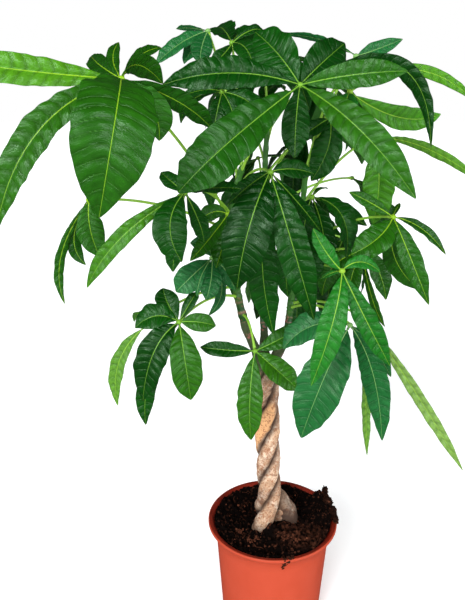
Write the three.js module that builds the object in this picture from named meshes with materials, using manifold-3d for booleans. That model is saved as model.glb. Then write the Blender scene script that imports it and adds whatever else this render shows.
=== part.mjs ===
// A potted money tree: three stout trunks twisted together, standing in potting mix in a thin plastic
// grow pot, with green shoots that carry palmate leaves on long stalks.
// Millimetres, +Z up. The origin is the centre of the pot's flat underside, and the viewer stands at -Y.

import * as THREE from 'three';
import { mergeVertices } from 'three/addons/utils/BufferGeometryUtils.js';
import Module from 'manifold-3d';

const wasm = await Module();
wasm.setup();

// Driving dimensions

const degree = Math.PI / 180;
const fit = 0.35; // clearance between solids that touch

const pot = {
  height: 150, // standing on its base, to the top of the rim
  rimRadius: 85, // outer edge of the rolled rim
  rimInner: 80, // inner edge of the rim's flat top
  lip: 4, // height of the rolled rim
  neck: 75.6, // outside of the wall, just under the rim
  base: 65.2, // outside of the wall, at the bottom
  wall: 1.6,
  floor: 2.4,
  corner: 2.5, // slope between the wall and the base
  edge: 0.9, // slope along the rim's edges
  swell: 18, // height over which the wall widens to meet the rim
  cove: { out: 3, down: 7 }, // a point of that widening, out from the neck and down from the rim
  drainHoles: 6,
  drainRadius: 4.5,
  drainCircle: 42,
  sides: 40,
};

const soil = {
  level: 143,
  bottom: pot.floor + fit,
  side: 0.6, // gap to the pot's inner wall
  rings: 7,
  sectors: 26,
};

const trunk = {
  foot: [-3.5, 0, 143], // centre line where it leaves the soil
  crown: [-12, 0, 372], // centre line where the twist ends
  buried: 43, // depth of the roots under the foot
  pitch: 139, // height of one full turn of the twist
  phase: 293, // height at which the first strand stands on the +X side
  strandRadius: 6.9,
  twistRadius: 8.4,
  stepsPerTurn: 16,
  sides: 8,
};

// How each strand's root spreads from the twist at the soil, what it gains in radius, and how high it does
const ROOTS = [
  { reach: [16, 8], gain: 8, height: 34 },
  { reach: [-4, 12], gain: 4, height: 24 },
  { reach: [-6, -12], gain: 3.5, height: 26 },
];

const shootSteps = 8;
const shootSides = 6;
const stalk = { radiusAtShoot: 1.8, radiusAtLeaf: 1.3, sides: 4, steps: 4 };
const hub = { radius: 3.2, stand: 3 }; // the knot where blades meet, and the stalk's distance to its centre
const blade = {
  ribThickness: 1.6,
  neckWidth: 2.6,
  neckAt: 0.05,
  foldAngle: 11 * degree,
  baseFullness: 0.85,
  tipFullness: 0.72,
  stations: [0.24, 0.44, 0.64, 0.83],
  smallStations: [0.32, 0.7],
  smallLength: 62,
};

// Small helpers

const at = (x, y, z) => new THREE.Vector3(x, y, z);
const up = at(0, 0, 1);
const between = (a, b, share) => a.clone().lerp(b, share);

// The same whole-number generator each time, so that the plant never changes
let seed = 20417;
function draw(low, high) {
  seed = (seed * 1664525 + 1013904223) % 4294967296;
  return low + (high - low) * (seed / 4294967296);
}

// Places read from the photo

// The view that the places below are read in: an eye in front of the plant and above it, looking down.
const view = { eye: at(-53, -751, 717), pitch: 19.2 * degree, focal: 673, across: 232.5, down: 300 };

// A pixel of the photo, with a chosen depth (Y), as a point of the model
function seen([across, down, depth]) {
  const x = (across - view.across) / view.focal;
  const y = (down - view.down) / view.focal;
  const run = (depth - view.eye.y) / (Math.cos(view.pitch) - y * Math.sin(view.pitch));
  const drop = Math.sin(view.pitch) + y * Math.cos(view.pitch);
  return at(view.eye.x + run * x, depth, view.eye.z - run * drop);
}

// Green shoots: foot, middle and top, and their radius at foot and top
const SHOOTS = {
  left: { path: [[244, 320, -12], [231, 240, -10], [242, 168, -15]], radius: [4.6, 3], strand: 0 },
  right: { path: [[288, 326, 10], [295, 270, 16], [306, 172, 5]], radius: [4.4, 2.8], strand: 1 },
  back: { path: [[264, 328, 34], [262, 240, 62], [268, 118, 70]], radius: [4.4, 2.8], strand: 2 },
};

// Leaves that the photo shows. hub: where the blades meet. from: the shoot, and how far up it the stalk
// starts. Each blade: its middle, its tip, its width, and how far it turns to the viewer (0 to 1).
const LEAVES = {
  near_left: { hub: [121, 79, -190], from: ['left', 0.62], tone: 'mid', blades: [
    [[116, 114, -262], [99, 218, -262], 66, 0.9],
    [[20, 70, -203], [-80, 55, -208], 28, 0.7],
    [[37, 133, -215], [-4, 233, -225], 31, 0.7],
    [[177, 101, -172], [213, 130, -150], 24, 0.5],
    [[101, 66, -165], [91, 56, -130], 19, 0.8],
    [[113, 59, -165], [119, 42, -140], 12, 0.7],
    [[138, 65, -167], [163, 84, -144], 25, 0.6],
    [[152, 108, -182], [159, 141, -178], 30, 0.7],
    [[141, 55, -130], [162, 48, -100], 12, 0.6],
  ] },
  top_front: { hub: [300, 85, -100], from: ['left', 0.97], tone: 'dark', blades: [
    [[228, 143, -165], [178, 193, -185], 46, 0.8],
    [[360, 130, -150], [416, 199, -165], 34, 0.8],
    [[232, 73, -125], [162, 85, -120], 33, 0.7],
    [[352, 75, -114], [408, 71, -116], 28, 0.9],
    [[278, 54, -80], [255, 32, -50], 42, 0.8],
    [[322, 63, -82], [345, 43, -50], 40, 0.9],
    [[398, 66, -98], [431, 148, -106], 19, 0.9],
    [[296, 122, -75], [295, 158, -70], 30, 0.7],
  ] },
  centre: { hub: [270, 172, -120], from: ['left', 0.8], tone: 'dark', blades: [
    [[249, 228, -155], [237, 289, -148], 48, 0.9],
    [[291, 240, -150], [314, 320, -140], 34, 0.9],
    [[262, 258, -112], [274, 335, -100], 34, 0.8],
    [[300, 205, -118], [321, 232, -112], 15, 0.6],
    [[292, 169, -110], [314, 174, -100], 22, 0.6],
    [[250, 185, -100], [228, 205, -92], 22, 0.5],
  ] },
  right_bright: { hub: [342, 271, -132], from: ['right', 0.42], tone: 'bright', blades: [
    [[333, 322, -158], [311, 386, -152], 28, 0.9],
    [[365, 318, -150], [390, 366, -144], 24, 0.8],
    [[326, 252, -135], [313, 228, -122], 19, 0.8],
    [[361, 262, -128], [381, 273, -120], 16, 0.7],
    [[332, 273, -122], [321, 279, -112], 8, 0.6],
  ] },
  right_star: { hub: [393, 217, -72], from: ['right', 0.62], tone: 'mid', blades: [
    [[409, 254, -92], [429, 305, -90], 24, 0.8],
    [[378, 238, -95], [350, 255, -98], 34, 0.8],
    [[395, 258, -62], [420, 290, -58], 28, 0.8],
    [[371, 203, -72], [349, 192, -62], 15, 0.7],
    [[422, 229, -74], [446, 255, -74], 14, 0.6],
    [[396, 210, -60], [400, 203, -48], 7, 0.6],
  ] },
  left_fan: { hub: [185, 192, -112], from: ['left', 0.66], tone: 'dark', blades: [
    [[122, 237, -136], [87, 288, -140], 19, 0.8],
    [[170, 225, -140], [182, 262, -142], 36, 0.8],
    [[176, 240, -100], [173, 272, -96], 22, 0.7],
    [[199, 222, -98], [204, 242, -92], 20, 0.7],
    [[172, 182, -104], [161, 172, -92], 18, 0.7],
    [[214, 188, -98], [241, 189, -88], 22, 0.4],
  ] },
  left_hanging: { hub: [89, 200, -92], from: ['left', 0.55], tone: 'mid', blades: [
    [[90, 228, -100], [100, 257, -100], 30, 0.8],
    [[74, 238, -86], [86, 265, -84], 17, 0.7],
    [[61, 256, -92], [65, 304, -94], 12, 0.7],
  ] },
  low_left: { hub: [179, 322, -74], from: ['left', 0.14], tone: 'dark', blades: [
    [[185, 361, -98], [191, 400, -96], 38, 0.8],
    [[154, 352, -92], [143, 401, -90], 38, 0.8],
    [[198, 322, -78], [216, 326, -74], 23, 0.8],
    [[156, 316, -74], [135, 328, -74], 32, 0.7],
    [[168, 304, -64], [163, 288, -52], 28, 0.8],
    [[190, 303, -62], [197, 292, -50], 16, 0.7],
    [[150, 376, -66], [146, 425, -64], 26, 0.7],
  ] },
  low_left_light: { hub: [146, 326, -34], from: ['left', 0.2], tone: 'bright', blades: [
    [[119, 362, -42], [118, 406, -44], 21, 0.7],
    [[140, 312, -20], [134, 322, -2], 14, 0.4],
  ] },
  low_front: { hub: [255, 351, -56], from: ['left', 0.03], tone: 'dark', blades: [
    [[250, 397, -78], [251, 440, -76], 32, 0.9],
    [[277, 370, -68], [299, 390, -66], 32, 0.8],
    [[226, 350, -64], [200, 347, -60], 20, 0.8],
    [[280, 339, -50], [303, 326, -40], 25, 0.7],
  ] },
  low_right: { hub: [350, 325, -84], from: ['right', 0.2], tone: 'teal', blades: [
    [[324, 378, -108], [301, 438, -106], 54, 0.9],
    [[373, 374, -88], [382, 441, -84], 32, 0.8],
    [[312, 326, -62], [283, 349, -50], 36, 0.7],
    [[372, 346, -66], [391, 377, -60], 22, 0.7],
  ] },
  low_right_long: { hub: [368, 322, -30], from: ['right', 0.24], tone: 'bright', blades: [
    [[417, 395, -44], [463, 471, -50], 16, 0.9],
    [[366, 396, -26], [367, 456, -24], 13, 0.6],
  ] },
  inner_left: { hub: [212, 258, -50], from: ['left', 0.36], tone: 'teal', blades: [
    [[192, 276, -62], [176, 292, -62], 32, 0.8],
    [[201, 277, -68], [197, 297, -68], 9, 0.7],
    [[211, 280, -64], [206, 300, -62], 26, 0.7],
    [[226, 271, -58], [235, 291, -56], 22, 0.7],
    [[206, 247, -36], [190, 243, -28], 26, 0.6],
    [[222, 290, -40], [208, 316, -36], 13, 0.7],
  ] },
  inner_left_high: { hub: [228, 214, -36], from: ['left', 0.5], tone: 'mid', blades: [
    [[210, 238, -46], [190, 261, -46], 19, 0.7],
    [[240, 232, -42], [252, 262, -40], 24, 0.6],
    [[213, 212, -28], [199, 222, -20], 20, 0.5],
    [[224, 240, -30], [216, 268, -26], 28, 0.6],
  ] },
  upper_left_inner: { hub: [222, 92, -4], from: ['left', 0.9], tone: 'dark', blades: [
    [[204, 90, -14], [180, 97, -18], 15, 0.6],
    [[217, 112, -18], [213, 134, -18], 20, 0.7],
    [[231, 108, -14], [236, 130, -12], 20, 0.6],
    [[192, 100, 6], [181, 124, 8], 16, 0.5],
    [[246, 100, -4], [264, 118, 0], 26, 0.6],
    [[230, 78, 26], [242, 68, 46], 26, 0.5],
  ] },
  inner_right: { hub: [330, 118, -12], from: ['right', 0.93], tone: 'dark', blades: [
    [[328, 148, -24], [311, 181, -20], 36, 0.8],
    [[333, 146, -18], [334, 169, -14], 10, 0.6],
    [[352, 124, -6], [386, 134, 4], 26, 0.5],
    [[314, 128, 0], [298, 140, 10], 24, 0.5],
  ] },
  inner_low_right: { hub: [312, 197, -46], from: ['right', 0.72], tone: 'dark', blades: [
    [[342, 216, -62], [346, 260, -64], 36, 0.8],
    [[338, 209, -40], [367, 226, -34], 24, 0.7],
    [[323, 232, -46], [324, 266, -44], 30, 0.7],
    [[305, 222, -40], [302, 256, -38], 30, 0.7],
    [[320, 189, -34], [328, 189, -28], 10, 0.5],
  ] },
  inner_centre: { hub: [286, 226, -26], from: ['right', 0.55], tone: 'dark', blades: [
    [[285, 262, -38], [288, 297, -36], 28, 0.8],
    [[272, 240, -32], [270, 262, -30], 24, 0.7],
    [[306, 250, -32], [316, 282, -30], 30, 0.7],
    [[262, 246, -22], [246, 268, -18], 26, 0.6],
  ] },
  right_inner_low: { hub: [362, 252, 0], from: ['right', 0.5], tone: 'mid', blades: [
    [[378, 270, -10], [386, 300, -10], 28, 0.7],
    [[372, 298, 0], [385, 327, 2], 12, 0.6],
    [[352, 276, -12], [347, 306, -12], 28, 0.7],
    [[334, 266, -6], [322, 296, -4], 28, 0.6],
  ] },
  right_middle: { hub: [375, 138, 14], from: ['right', 0.86], tone: 'bright', blades: [
    [[379, 182, -2], [373, 224, -4], 38, 0.8],
    [[428, 149, 18], [488, 187, 14], 14, 0.8],
  ] },
  right_upper: { hub: [350, 92, -20], from: ['right', 1], tone: 'bright', blades: [
    [[398, 117, -30], [441, 114, -28], 27, 0.9],
    [[346, 104, -40], [347, 120, -48], 27, 0.9],
    [[417, 70, 10], [480, 106, 8], 15, 0.9],
  ] },
  top_right: { hub: [356, 56, 26], from: ['right', 1], tone: 'teal', blades: [
    [[375, 50, 34], [403, 39, 40], 19, 0.8],
    [[372, 56, 12], [390, 58, 2], 16, 0.5],
    [[322, 40, 34], [282, 34, 40], 13, 0.5],
  ] },
  top_centre: { hub: [232, 43, 10], from: ['left', 1], tone: 'dark', blades: [
    [[247, 50, -16], [255, 77, -32], 28, 0.7],
    [[223, 29, 36], [216, 28, 72], 34, 0.7],
    [[252, 30, 20], [265, 33, 30], 13, 0.5],
    [[240, 33, 50], [254, 26, 76], 13, 0.5],
    [[246, 42, 34], [262, 48, 52], 26, 0.6],
    [[222, 56, -10], [209, 66, -20], 18, 0.5],
  ] },
  top_left: { hub: [208, 31, 44], from: ['left', 1], tone: 'teal', blades: [
    [[202, 46, 20], [200, 64, 10], 26, 0.8],
    [[181, 43, 32], [155, 65, 24], 22, 0.5],
    [[190, 28, 54], [176, 29, 62], 10, 0.5],
    [[194, 47, 34], [184, 64, 26], 26, 0.6],
  ] },
};

// Leaves behind, which the photo hides: their hubs. Their blades follow a rule.
const BACK_HUBS = [
  [262, 62, 84], [322, 78, 76], [286, 92, 168], [240, 112, 110], [342, 112, 122], [306, 136, 206],
  [258, 158, 172], [352, 178, 140], [306, 202, 152], [248, 222, 112], [344, 238, 92], [294, 258, 104],
];
const backLeaf = { blades: 6, length: [104, 138], width: 0.3, droop: [14, 56], arch: 0.17 };
// How far up the back shoot their stalks start: the first leaf's at the top, the others each a step lower
const BACK_STALKS = { top: 1, step: 0.055 };
// The part of the photo that the leaves in front fill, as an ellipse, and round gaps in it
const thicket = { across: 300, down: 178, halfWidth: 106, halfHeight: 158 };
const GAPS = [{ across: 338, down: 170, radius: 20 }, { across: 269, down: 142, radius: 12 },
  { across: 312, down: 192, radius: 8 }, { across: 178, down: 130, radius: 24 }];

// Room between leaves

// Space is shared out in cells. Each piece takes the cells around its own points, and a blade that would
// enter a taken cell is bent until it is clear.
const cell = 5;
const cellRow = 400;
const taken = new Map();

function cellIndex(point, i, j, k) {
  const x = Math.floor(point.x / cell) + cellRow / 2 + i;
  const y = Math.floor(point.y / cell) + cellRow / 2 + j;
  const z = Math.floor(point.z / cell) + cellRow / 2 + k;
  return x + cellRow * (y + cellRow * z);
}

function take(points, owner) {
  for (const point of points) {
    for (let i = -1; i <= 1; i += 1) {
      for (let j = -1; j <= 1; j += 1) {
        for (let k = -1; k <= 1; k += 1) {
          const index = cellIndex(point, i, j, k);
          if (!taken.has(index)) taken.set(index, owner);
        }
      }
    }
  }
}

function isFree(points, ...owners) {
  return points.every((point) => {
    const who = taken.get(cellIndex(point, 0, 0, 0));
    return who === undefined || owners.includes(who);
  });
}

// Curves

// The parabola that starts at a, passes through b half way, and ends at c
function bow(a, b, c) {
  return {
    point: (t) => a.clone().multiplyScalar((1 - t) * (1 - 2 * t))
      .addScaledVector(b, 4 * t * (1 - t)).addScaledVector(c, t * (2 * t - 1)),
    heading: (t) => a.clone().multiplyScalar(4 * t - 3)
      .addScaledVector(b, 4 - 8 * t).addScaledVector(c, 4 * t - 1).normalize(),
    length: a.distanceTo(b) + b.distanceTo(c),
  };
}

function pointsAlong(curve, from, spacing) {
  const count = Math.ceil(curve.length / spacing);
  const first = Math.ceil(count * from);
  return Array.from({ length: count - first + 1 }, (_, i) => curve.point((first + i) / count));
}

// Solids

// A closed skin over rings of points that all have the same number of points
function skin(rings) {
  const sides = rings[0].length;
  const positions = rings.flat().flatMap((p) => [p.x, p.y, p.z]);
  const faces = [];
  for (let r = 0; r < rings.length - 1; r += 1) {
    for (let s = 0; s < sides; s += 1) {
      const a = r * sides + s;
      const b = r * sides + ((s + 1) % sides);
      faces.push(a, b, b + sides, a, b + sides, a + sides);
    }
  }
  const last = (rings.length - 1) * sides;
  for (let s = 1; s < sides - 1; s += 1) {
    faces.push(0, s + 1, s);
    faces.push(last, last + s, last + s + 1);
  }
  const geometry = new THREE.BufferGeometry();
  geometry.setAttribute('position', new THREE.Float32BufferAttribute(positions, 3));
  geometry.setIndex(faces);
  return geometry;
}

// A tapering tube: centres, radii, and the direction that each ring's first point lies in
function tube(centres, radii, sides, reference) {
  const rings = centres.map((centre, i) => {
    const before = centres[Math.max(i - 1, 0)];
    const after = centres[Math.min(i + 1, centres.length - 1)];
    const heading = after.clone().sub(before).normalize();
    const first = reference(i).clone().addScaledVector(heading, -reference(i).dot(heading)).normalize();
    const second = heading.clone().cross(first);
    return Array.from({ length: sides }, (_, s) => {
      const angle = (2 * Math.PI * s) / sides;
      return centre.clone().addScaledVector(first, radii[i] * Math.cos(angle))
        .addScaledVector(second, radii[i] * Math.sin(angle));
    });
  });
  return skin(rings);
}

function toSolid(geometry) {
  const bare = geometry.clone();
  bare.deleteAttribute('normal');
  bare.deleteAttribute('uv');
  const merged = mergeVertices(bare, 1e-4);
  return new wasm.Manifold(new wasm.Mesh({
    numProp: 3,
    vertProperties: Float32Array.from(merged.attributes.position.array),
    triVerts: Uint32Array.from(merged.index.array),
  }));
}

// The largest body of a solid: hollows that joining has sealed, and loose scraps, are left out
function toGeometry(solid) {
  const [largest] = solid.decompose().sort((a, b) => b.volume() - a.volume());
  const mesh = largest.getMesh();
  const geometry = new THREE.BufferGeometry();
  geometry.setAttribute('position', new THREE.BufferAttribute(mesh.vertProperties, 3));
  geometry.setIndex(new THREE.BufferAttribute(mesh.triVerts, 1));
  return geometry;
}

// The pot

function potWallRadius(height) {
  return pot.base + (pot.neck - pot.base) * (height / (pot.height - pot.lip));
}

function makePot() {
  const underLip = pot.height - pot.lip;
  const { edge } = pot;
  const profile = [
    [0, 0], [pot.base - pot.corner, 0], [pot.base, pot.corner],
    [potWallRadius(underLip - pot.swell), underLip - pot.swell],
    [pot.neck + pot.cove.out, underLip - pot.cove.down],
    [pot.rimRadius - edge, underLip], [pot.rimRadius, underLip + edge],
    [pot.rimRadius, pot.height - edge], [pot.rimRadius - edge, pot.height],
    [pot.rimInner + edge, pot.height], [pot.rimInner, pot.height - edge],
    [pot.neck - pot.wall, underLip], [pot.base - pot.wall, pot.floor], [0, pot.floor],
  ].map(([r, z]) => new THREE.Vector2(r, z));
  const turned = new THREE.LatheGeometry(profile, pot.sides);
  turned.rotateX(Math.PI / 2);
  let solid = toSolid(turned);
  for (let i = 0; i < pot.drainHoles; i += 1) {
    const angle = (2 * Math.PI * i) / pot.drainHoles;
    const drill = new THREE.CylinderGeometry(pot.drainRadius, pot.drainRadius, 3 * pot.floor, 12);
    drill.rotateX(Math.PI / 2);
    drill.translate(pot.drainCircle * Math.cos(angle), pot.drainCircle * Math.sin(angle), 0);
    solid = solid.subtract(toSolid(drill));
  }
  return toGeometry(solid);
}

// The trunks

function shootCurve(name) {
  return bow(...SHOOTS[name].path.map(seen));
}

const trunkFoot = at(...trunk.foot);
const trunkCrown = at(...trunk.crown);

function trunkAxis(height) {
  return between(trunkFoot, trunkCrown, (height - trunkFoot.z) / (trunkCrown.z - trunkFoot.z));
}

// How much of a root's spread is left at a height
function flare(height, root) {
  return Math.exp(-((Math.max(height - trunkFoot.z, 0) / root.height) ** 3));
}

function strandPath(index) {
  const root = ROOTS[index];
  const bottom = trunkFoot.z - trunk.buried;
  const rise = trunk.pitch / trunk.stepsPerTurn;
  const steps = Math.round((trunkCrown.z - bottom) / rise);
  const centres = [];
  const radii = [];
  const outward = [];
  for (let i = 0; i <= steps; i += 1) {
    const height = bottom + i * rise;
    const turns = (Math.max(height, trunkFoot.z) - trunk.phase) / trunk.pitch + index / 3;
    const angle = 2 * Math.PI * turns;
    const away = at(Math.cos(angle), Math.sin(angle), 0);
    outward.push(away);
    const spread = flare(height, root);
    const centre = trunkAxis(height).addScaledVector(away, trunk.twistRadius);
    centres.push(centre.addScaledVector(at(...root.reach, 0), spread));
    radii.push(trunk.strandRadius + root.gain * spread);
  }
  return { centres, radii, outward };
}

// Above the twist each strand leans over to the foot of its own shoot, and ends square to it.
// leave and arrive: pull of the bend at its two ends, as shares of its length. straight: the last piece.
// collar: how much wider than the shoot it ends.
const lean = { leave: 0.4, arrive: 0.35, straight: 3, steps: 5, collar: 0.4 };

function strandTop(path, index) {
  const [name, shoot] = Object.entries(SHOOTS).find(([, one]) => one.strand === index);
  const curve = shootCurve(name);
  const foot = curve.point(0);
  const arrive = curve.point(1 / shootSteps).sub(foot).normalize();
  const start = path.centres.at(-1);
  const heading = start.clone().sub(path.centres.at(-2)).normalize();
  const reach = start.distanceTo(foot);
  const end = foot.clone().addScaledVector(arrive, -fit);
  const nearEnd = end.clone().addScaledVector(arrive, -lean.straight);
  const bend = new THREE.CubicBezierCurve3(
    start,
    start.clone().addScaledVector(heading, reach * lean.leave),
    nearEnd.clone().addScaledVector(arrive, -reach * lean.arrive),
    nearEnd,
  );
  const { steps } = lean;
  for (let i = 1; i <= steps; i += 1) path.centres.push(bend.getPoint(i / steps));
  path.centres.push(end);
  const endRadius = shoot.radius[0] + lean.collar;
  for (let i = 1; i <= steps + 1; i += 1) {
    path.radii.push(trunk.strandRadius + ((endRadius - trunk.strandRadius) * i) / (steps + 1));
    path.outward.push(path.outward.at(-1));
  }
  return path;
}

function makeStrand(index, extra = 0) {
  const path = strandTop(strandPath(index), index);
  const centres = path.centres.map((centre, i) => (i === 0 ? centre.clone().setZ(centre.z - extra) : centre));
  return tube(centres, path.radii.map((radius) => radius + extra), trunk.sides, (i) => path.outward[i]);
}

// The potting mix

// A level bed that rises to a crumbly clump against the rim on the right and a low heap before the trunk,
// and sinks to two hollows on the left
const HEAPS = [
  { height: 26, x: 62, y: 30, size: 8 },
  { height: 13, x: 70, y: 8, size: 12 },
  { height: 8, x: 16, y: -36, size: 17 },
  { height: -4, x: -32, y: 12, size: 14 },
  { height: -4, x: -10, y: -60, size: 10 },
];
function soilHeight(x, y) {
  const ripple = 1.1 * Math.sin(x / 6.3) * Math.cos(y / 7.1) + 0.9 * Math.sin((x + y) / 4.7);
  return HEAPS.reduce((sum, heap) => {
    const away = (x - heap.x) ** 2 + (y - heap.y) ** 2;
    return sum + heap.height * Math.exp(-away / (2 * heap.size ** 2));
  }, soil.level + ripple);
}

function makeSoil(strands) {
  const edgeRadius = (height) => potWallRadius(height) - pot.wall - soil.side;
  const innermost = 0.5;
  const rings = [];
  for (let r = 0; r <= soil.rings; r += 1) {
    rings.push(Array.from({ length: soil.sectors }, (_, s) => {
      const angle = (2 * Math.PI * s) / soil.sectors;
      const radius = Math.max((edgeRadius(soil.level) * r) / soil.rings, innermost);
      const x = radius * Math.cos(angle);
      const y = radius * Math.sin(angle);
      return at(x, y, soilHeight(x, y));
    }));
  }
  const bottom = Array.from({ length: soil.sectors }, (_, s) => {
    const angle = (2 * Math.PI * s) / soil.sectors;
    const radius = edgeRadius(soil.bottom);
    return at(radius * Math.cos(angle), radius * Math.sin(angle), soil.bottom);
  });
  const bed = toSolid(skin([bottom, ...rings.reverse()]));
  return strands.reduce((solid, strand) => solid.subtract(toSolid(strand)), bed);
}

// Shoots and leaf stalks

// A stalk leaves the shoot, bends up a little and ends just under the place where the blades meet
function stalkCurve(leaf, lift) {
  const shoot = shootCurve(leaf.from[0]);
  const start = shoot.point(leaf.from[1]);
  const middle = between(start, leaf.centre, 0.5).addScaledVector(up, lift);
  const whole = bow(start, middle, leaf.centre);
  const end = leaf.centre.clone().addScaledVector(whole.heading(1), -hub.stand);
  return bow(start, middle, end);
}

function stalkTube(leaf, extra = 0) {
  const shares = Array.from({ length: stalk.steps + 1 }, (_, i) => i / stalk.steps);
  const centres = shares.map(leaf.stalk.point);
  centres.at(-1).addScaledVector(leaf.stalk.heading(1), extra);
  const radii = shares.map((share) => stalk.radiusAtShoot
    + (stalk.radiusAtLeaf - stalk.radiusAtShoot) * share + extra);
  const sideways = leaf.stalk.heading(0.5).cross(up).normalize();
  return tube(centres, radii, stalk.sides, () => sideways);
}

function makeShoot(name, leaves) {
  const [atFoot, atTop] = SHOOTS[name].radius;
  const curve = shootCurve(name);
  const shares = Array.from({ length: shootSteps + 1 }, (_, i) => i / shootSteps);
  const radii = shares.map((share) => atFoot + (atTop - atFoot) * share);
  const stem = tube(shares.map(curve.point), radii, shootSides, () => at(0, -1, 0));
  return leaves.filter((leaf) => leaf.from[0] === name)
    .reduce((solid, leaf) => solid.add(toSolid(stalkTube(leaf))), toSolid(stem));
}

// Blades

// Half width along a blade: it swells from the neck, is widest past the middle and closes to a point
function bladeHalfWidth(t, width) {
  const { baseFullness: p, tipFullness: q } = blade;
  const peak = p / (p + q);
  const top = peak ** p * (1 - peak) ** q;
  const body = (Math.max(t - blade.neckAt, 0) ** p * Math.max(1 - t, 0) ** q) / top;
  return Math.max(body * width * 0.5, t < blade.neckAt + 0.001 ? blade.neckWidth / 2 : 0);
}

// The steady sideways direction of a blade. Left alone, a blade lies level across its own direction of
// growth; facing turns it toward the viewer by that share, and roll twists it.
function bladeSide(curve, a, c, facing, roll) {
  const chord = c.clone().sub(a);
  const out = at(chord.x, chord.y, 0);
  if (out.length() < 1) out.set(0, -1, 0);
  const level = out.normalize().cross(up);
  const toEye = view.eye.clone().sub(curve.point(0.5)).normalize();
  const flat = chord.clone().cross(toEye).normalize();
  if (flat.dot(level) < 0) flat.negate();
  const side = level.multiplyScalar(1 - facing).addScaledVector(flat, facing).normalize();
  return side.applyAxisAngle(chord.normalize(), roll);
}

function bladeShape(a, b, c, width, facing, roll) {
  const curve = bow(a, b, c);
  const side = bladeSide(curve, a, c, facing, roll);
  // A point on the blade: t runs from the hub to the tip, s from one edge (-1) to the other (1)
  const frame = (t) => {
    const heading = curve.heading(t);
    const across = side.clone().addScaledVector(heading, -side.dot(heading)).normalize();
    return { centre: curve.point(t), across, upper: across.clone().cross(heading) };
  };
  const point = (t, s) => {
    const { centre, across, upper } = frame(t);
    const reach = bladeHalfWidth(t, width);
    return centre.addScaledVector(across, reach * s * Math.cos(blade.foldAngle))
      .addScaledVector(upper, reach * Math.abs(s) * Math.sin(blade.foldAngle));
  };
  return { curve, frame, point, width };
}

// Points all over a blade, no more than a cell apart, from clear of the hub to the tip
function bladePoints(shape) {
  const hubRoom = 14;
  const count = Math.ceil(shape.curve.length / cell);
  const first = Math.ceil((count * hubRoom) / shape.curve.length);
  const points = [];
  for (let i = first; i <= count; i += 1) {
    const t = i / count;
    const across = Math.ceil((2 * bladeHalfWidth(t, shape.width)) / cell) + 1;
    for (let j = 0; j <= across; j += 1) points.push(shape.point(t, (2 * j) / across - 1));
  }
  return points;
}

// A thin solid with a ridge along the rib above and below, closed to a point at both ends
function bladeSolid(shape) {
  const stations = shape.curve.length < blade.smallLength ? blade.smallStations : blade.stations;
  const places = [blade.neckAt, ...stations];
  const rings = places.map((t) => {
    const { centre, upper } = shape.frame(t);
    const half = blade.ribThickness / 2;
    return [
      shape.point(t, 1), centre.clone().addScaledVector(upper, -half),
      shape.point(t, -1), centre.clone().addScaledVector(upper, half),
    ];
  });
  const start = Array(4).fill(shape.curve.point(0));
  const tip = Array(4).fill(shape.curve.point(1));
  return toSolid(skin([start, ...rings, tip]));
}

// How a blade in view may be bent: how far its tip slides in depth, the middle's share of that, and the
// change in its facing. Where nothing is free it is tried again a little shorter.
const SLIDES = [0, 8, -8, 16, -16, 24, -24, 36, -36, 48, -48, 64, -64, 80, -80];
const MIDDLE_SHARES = [0.5, 0.25, 0.8];
const FACINGS = [0, -0.4, 0.3];
const CUTS = [1, 0.75];

function fitSeenBlade(leaf, [middle, tip, width, facing], roll) {
  for (const cut of CUTS) {
    for (const slide of SLIDES) {
      for (const share of MIDDLE_SHARES) {
        for (const change of FACINGS) {
          const b = seen([middle[0], middle[1], middle[2] + slide * share]);
          const c = seen([tip[0], tip[1], tip[2] + slide]);
          const turned = Math.min(Math.max(facing + change, 0), 1);
          const shape = bladeShape(leaf.centre, between(leaf.centre, b, cut), between(leaf.centre, c, cut),
            width, turned, roll);
          if (isFree(bladePoints(shape), leaf.name)) return shape;
        }
      }
    }
  }
  return null;
}

// How a hidden blade may be bent: how far it turns about its hub, how much more it droops, its length
const TURNS = [0, 15, -15, 30, -30];
const DROOPS = [0, -15, 15, 30, -30];
const LENGTHS = [1, 0.8, 0.62];

// A blade that the photo hides hangs from its hub in its own direction, and is left out where it would
// show past the leaves in front
function fitHiddenBlade(leaf, way, length, droop, roll) {
  for (const cut of LENGTHS) {
    for (const turn of TURNS) {
      for (const more of DROOPS) {
        const fall = (droop + more) * degree;
        const shape = hangingBlade(leaf.centre, (way + turn) * degree, length * cut, fall, roll);
        const points = bladePoints(shape);
        if (isHidden(points) && isFree(points, leaf.name)) return shape;
      }
    }
  }
  return null;
}

// A blade that grows out from its hub at an angle and arches over as it falls
function hangingBlade(centre, angle, length, fall, roll) {
  const out = at(Math.cos(angle), Math.sin(angle), 0);
  const tip = centre.clone().addScaledVector(out, length * Math.cos(fall))
    .addScaledVector(up, -length * Math.sin(fall));
  const middle = between(centre, tip, 0.5).addScaledVector(out, backLeaf.arch * length * Math.sin(fall))
    .addScaledVector(up, backLeaf.arch * length * Math.cos(fall));
  return bladeShape(centre, middle, tip, length * backLeaf.width, 0, roll);
}

// Where the viewer sees a point, in pixels of the photo
function onPhoto(point) {
  const [x, y, z] = [point.x - view.eye.x, point.y - view.eye.y, point.z - view.eye.z];
  const ahead = y * Math.cos(view.pitch) - z * Math.sin(view.pitch);
  const above = y * Math.sin(view.pitch) + z * Math.cos(view.pitch);
  return [view.across + (view.focal * x) / ahead, view.down - (view.focal * above) / ahead];
}

// Whether the leaves in front hide these points from the viewer
function isHidden(points) {
  return points.every((point) => {
    const [across, down] = onPhoto(point);
    const inside = ((across - thicket.across) / thicket.halfWidth) ** 2
      + ((down - thicket.down) / thicket.halfHeight) ** 2 < 1;
    return inside && GAPS.every((gap) => Math.hypot(across - gap.across, down - gap.down) > gap.radius);
  });
}

// Assembly

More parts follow.
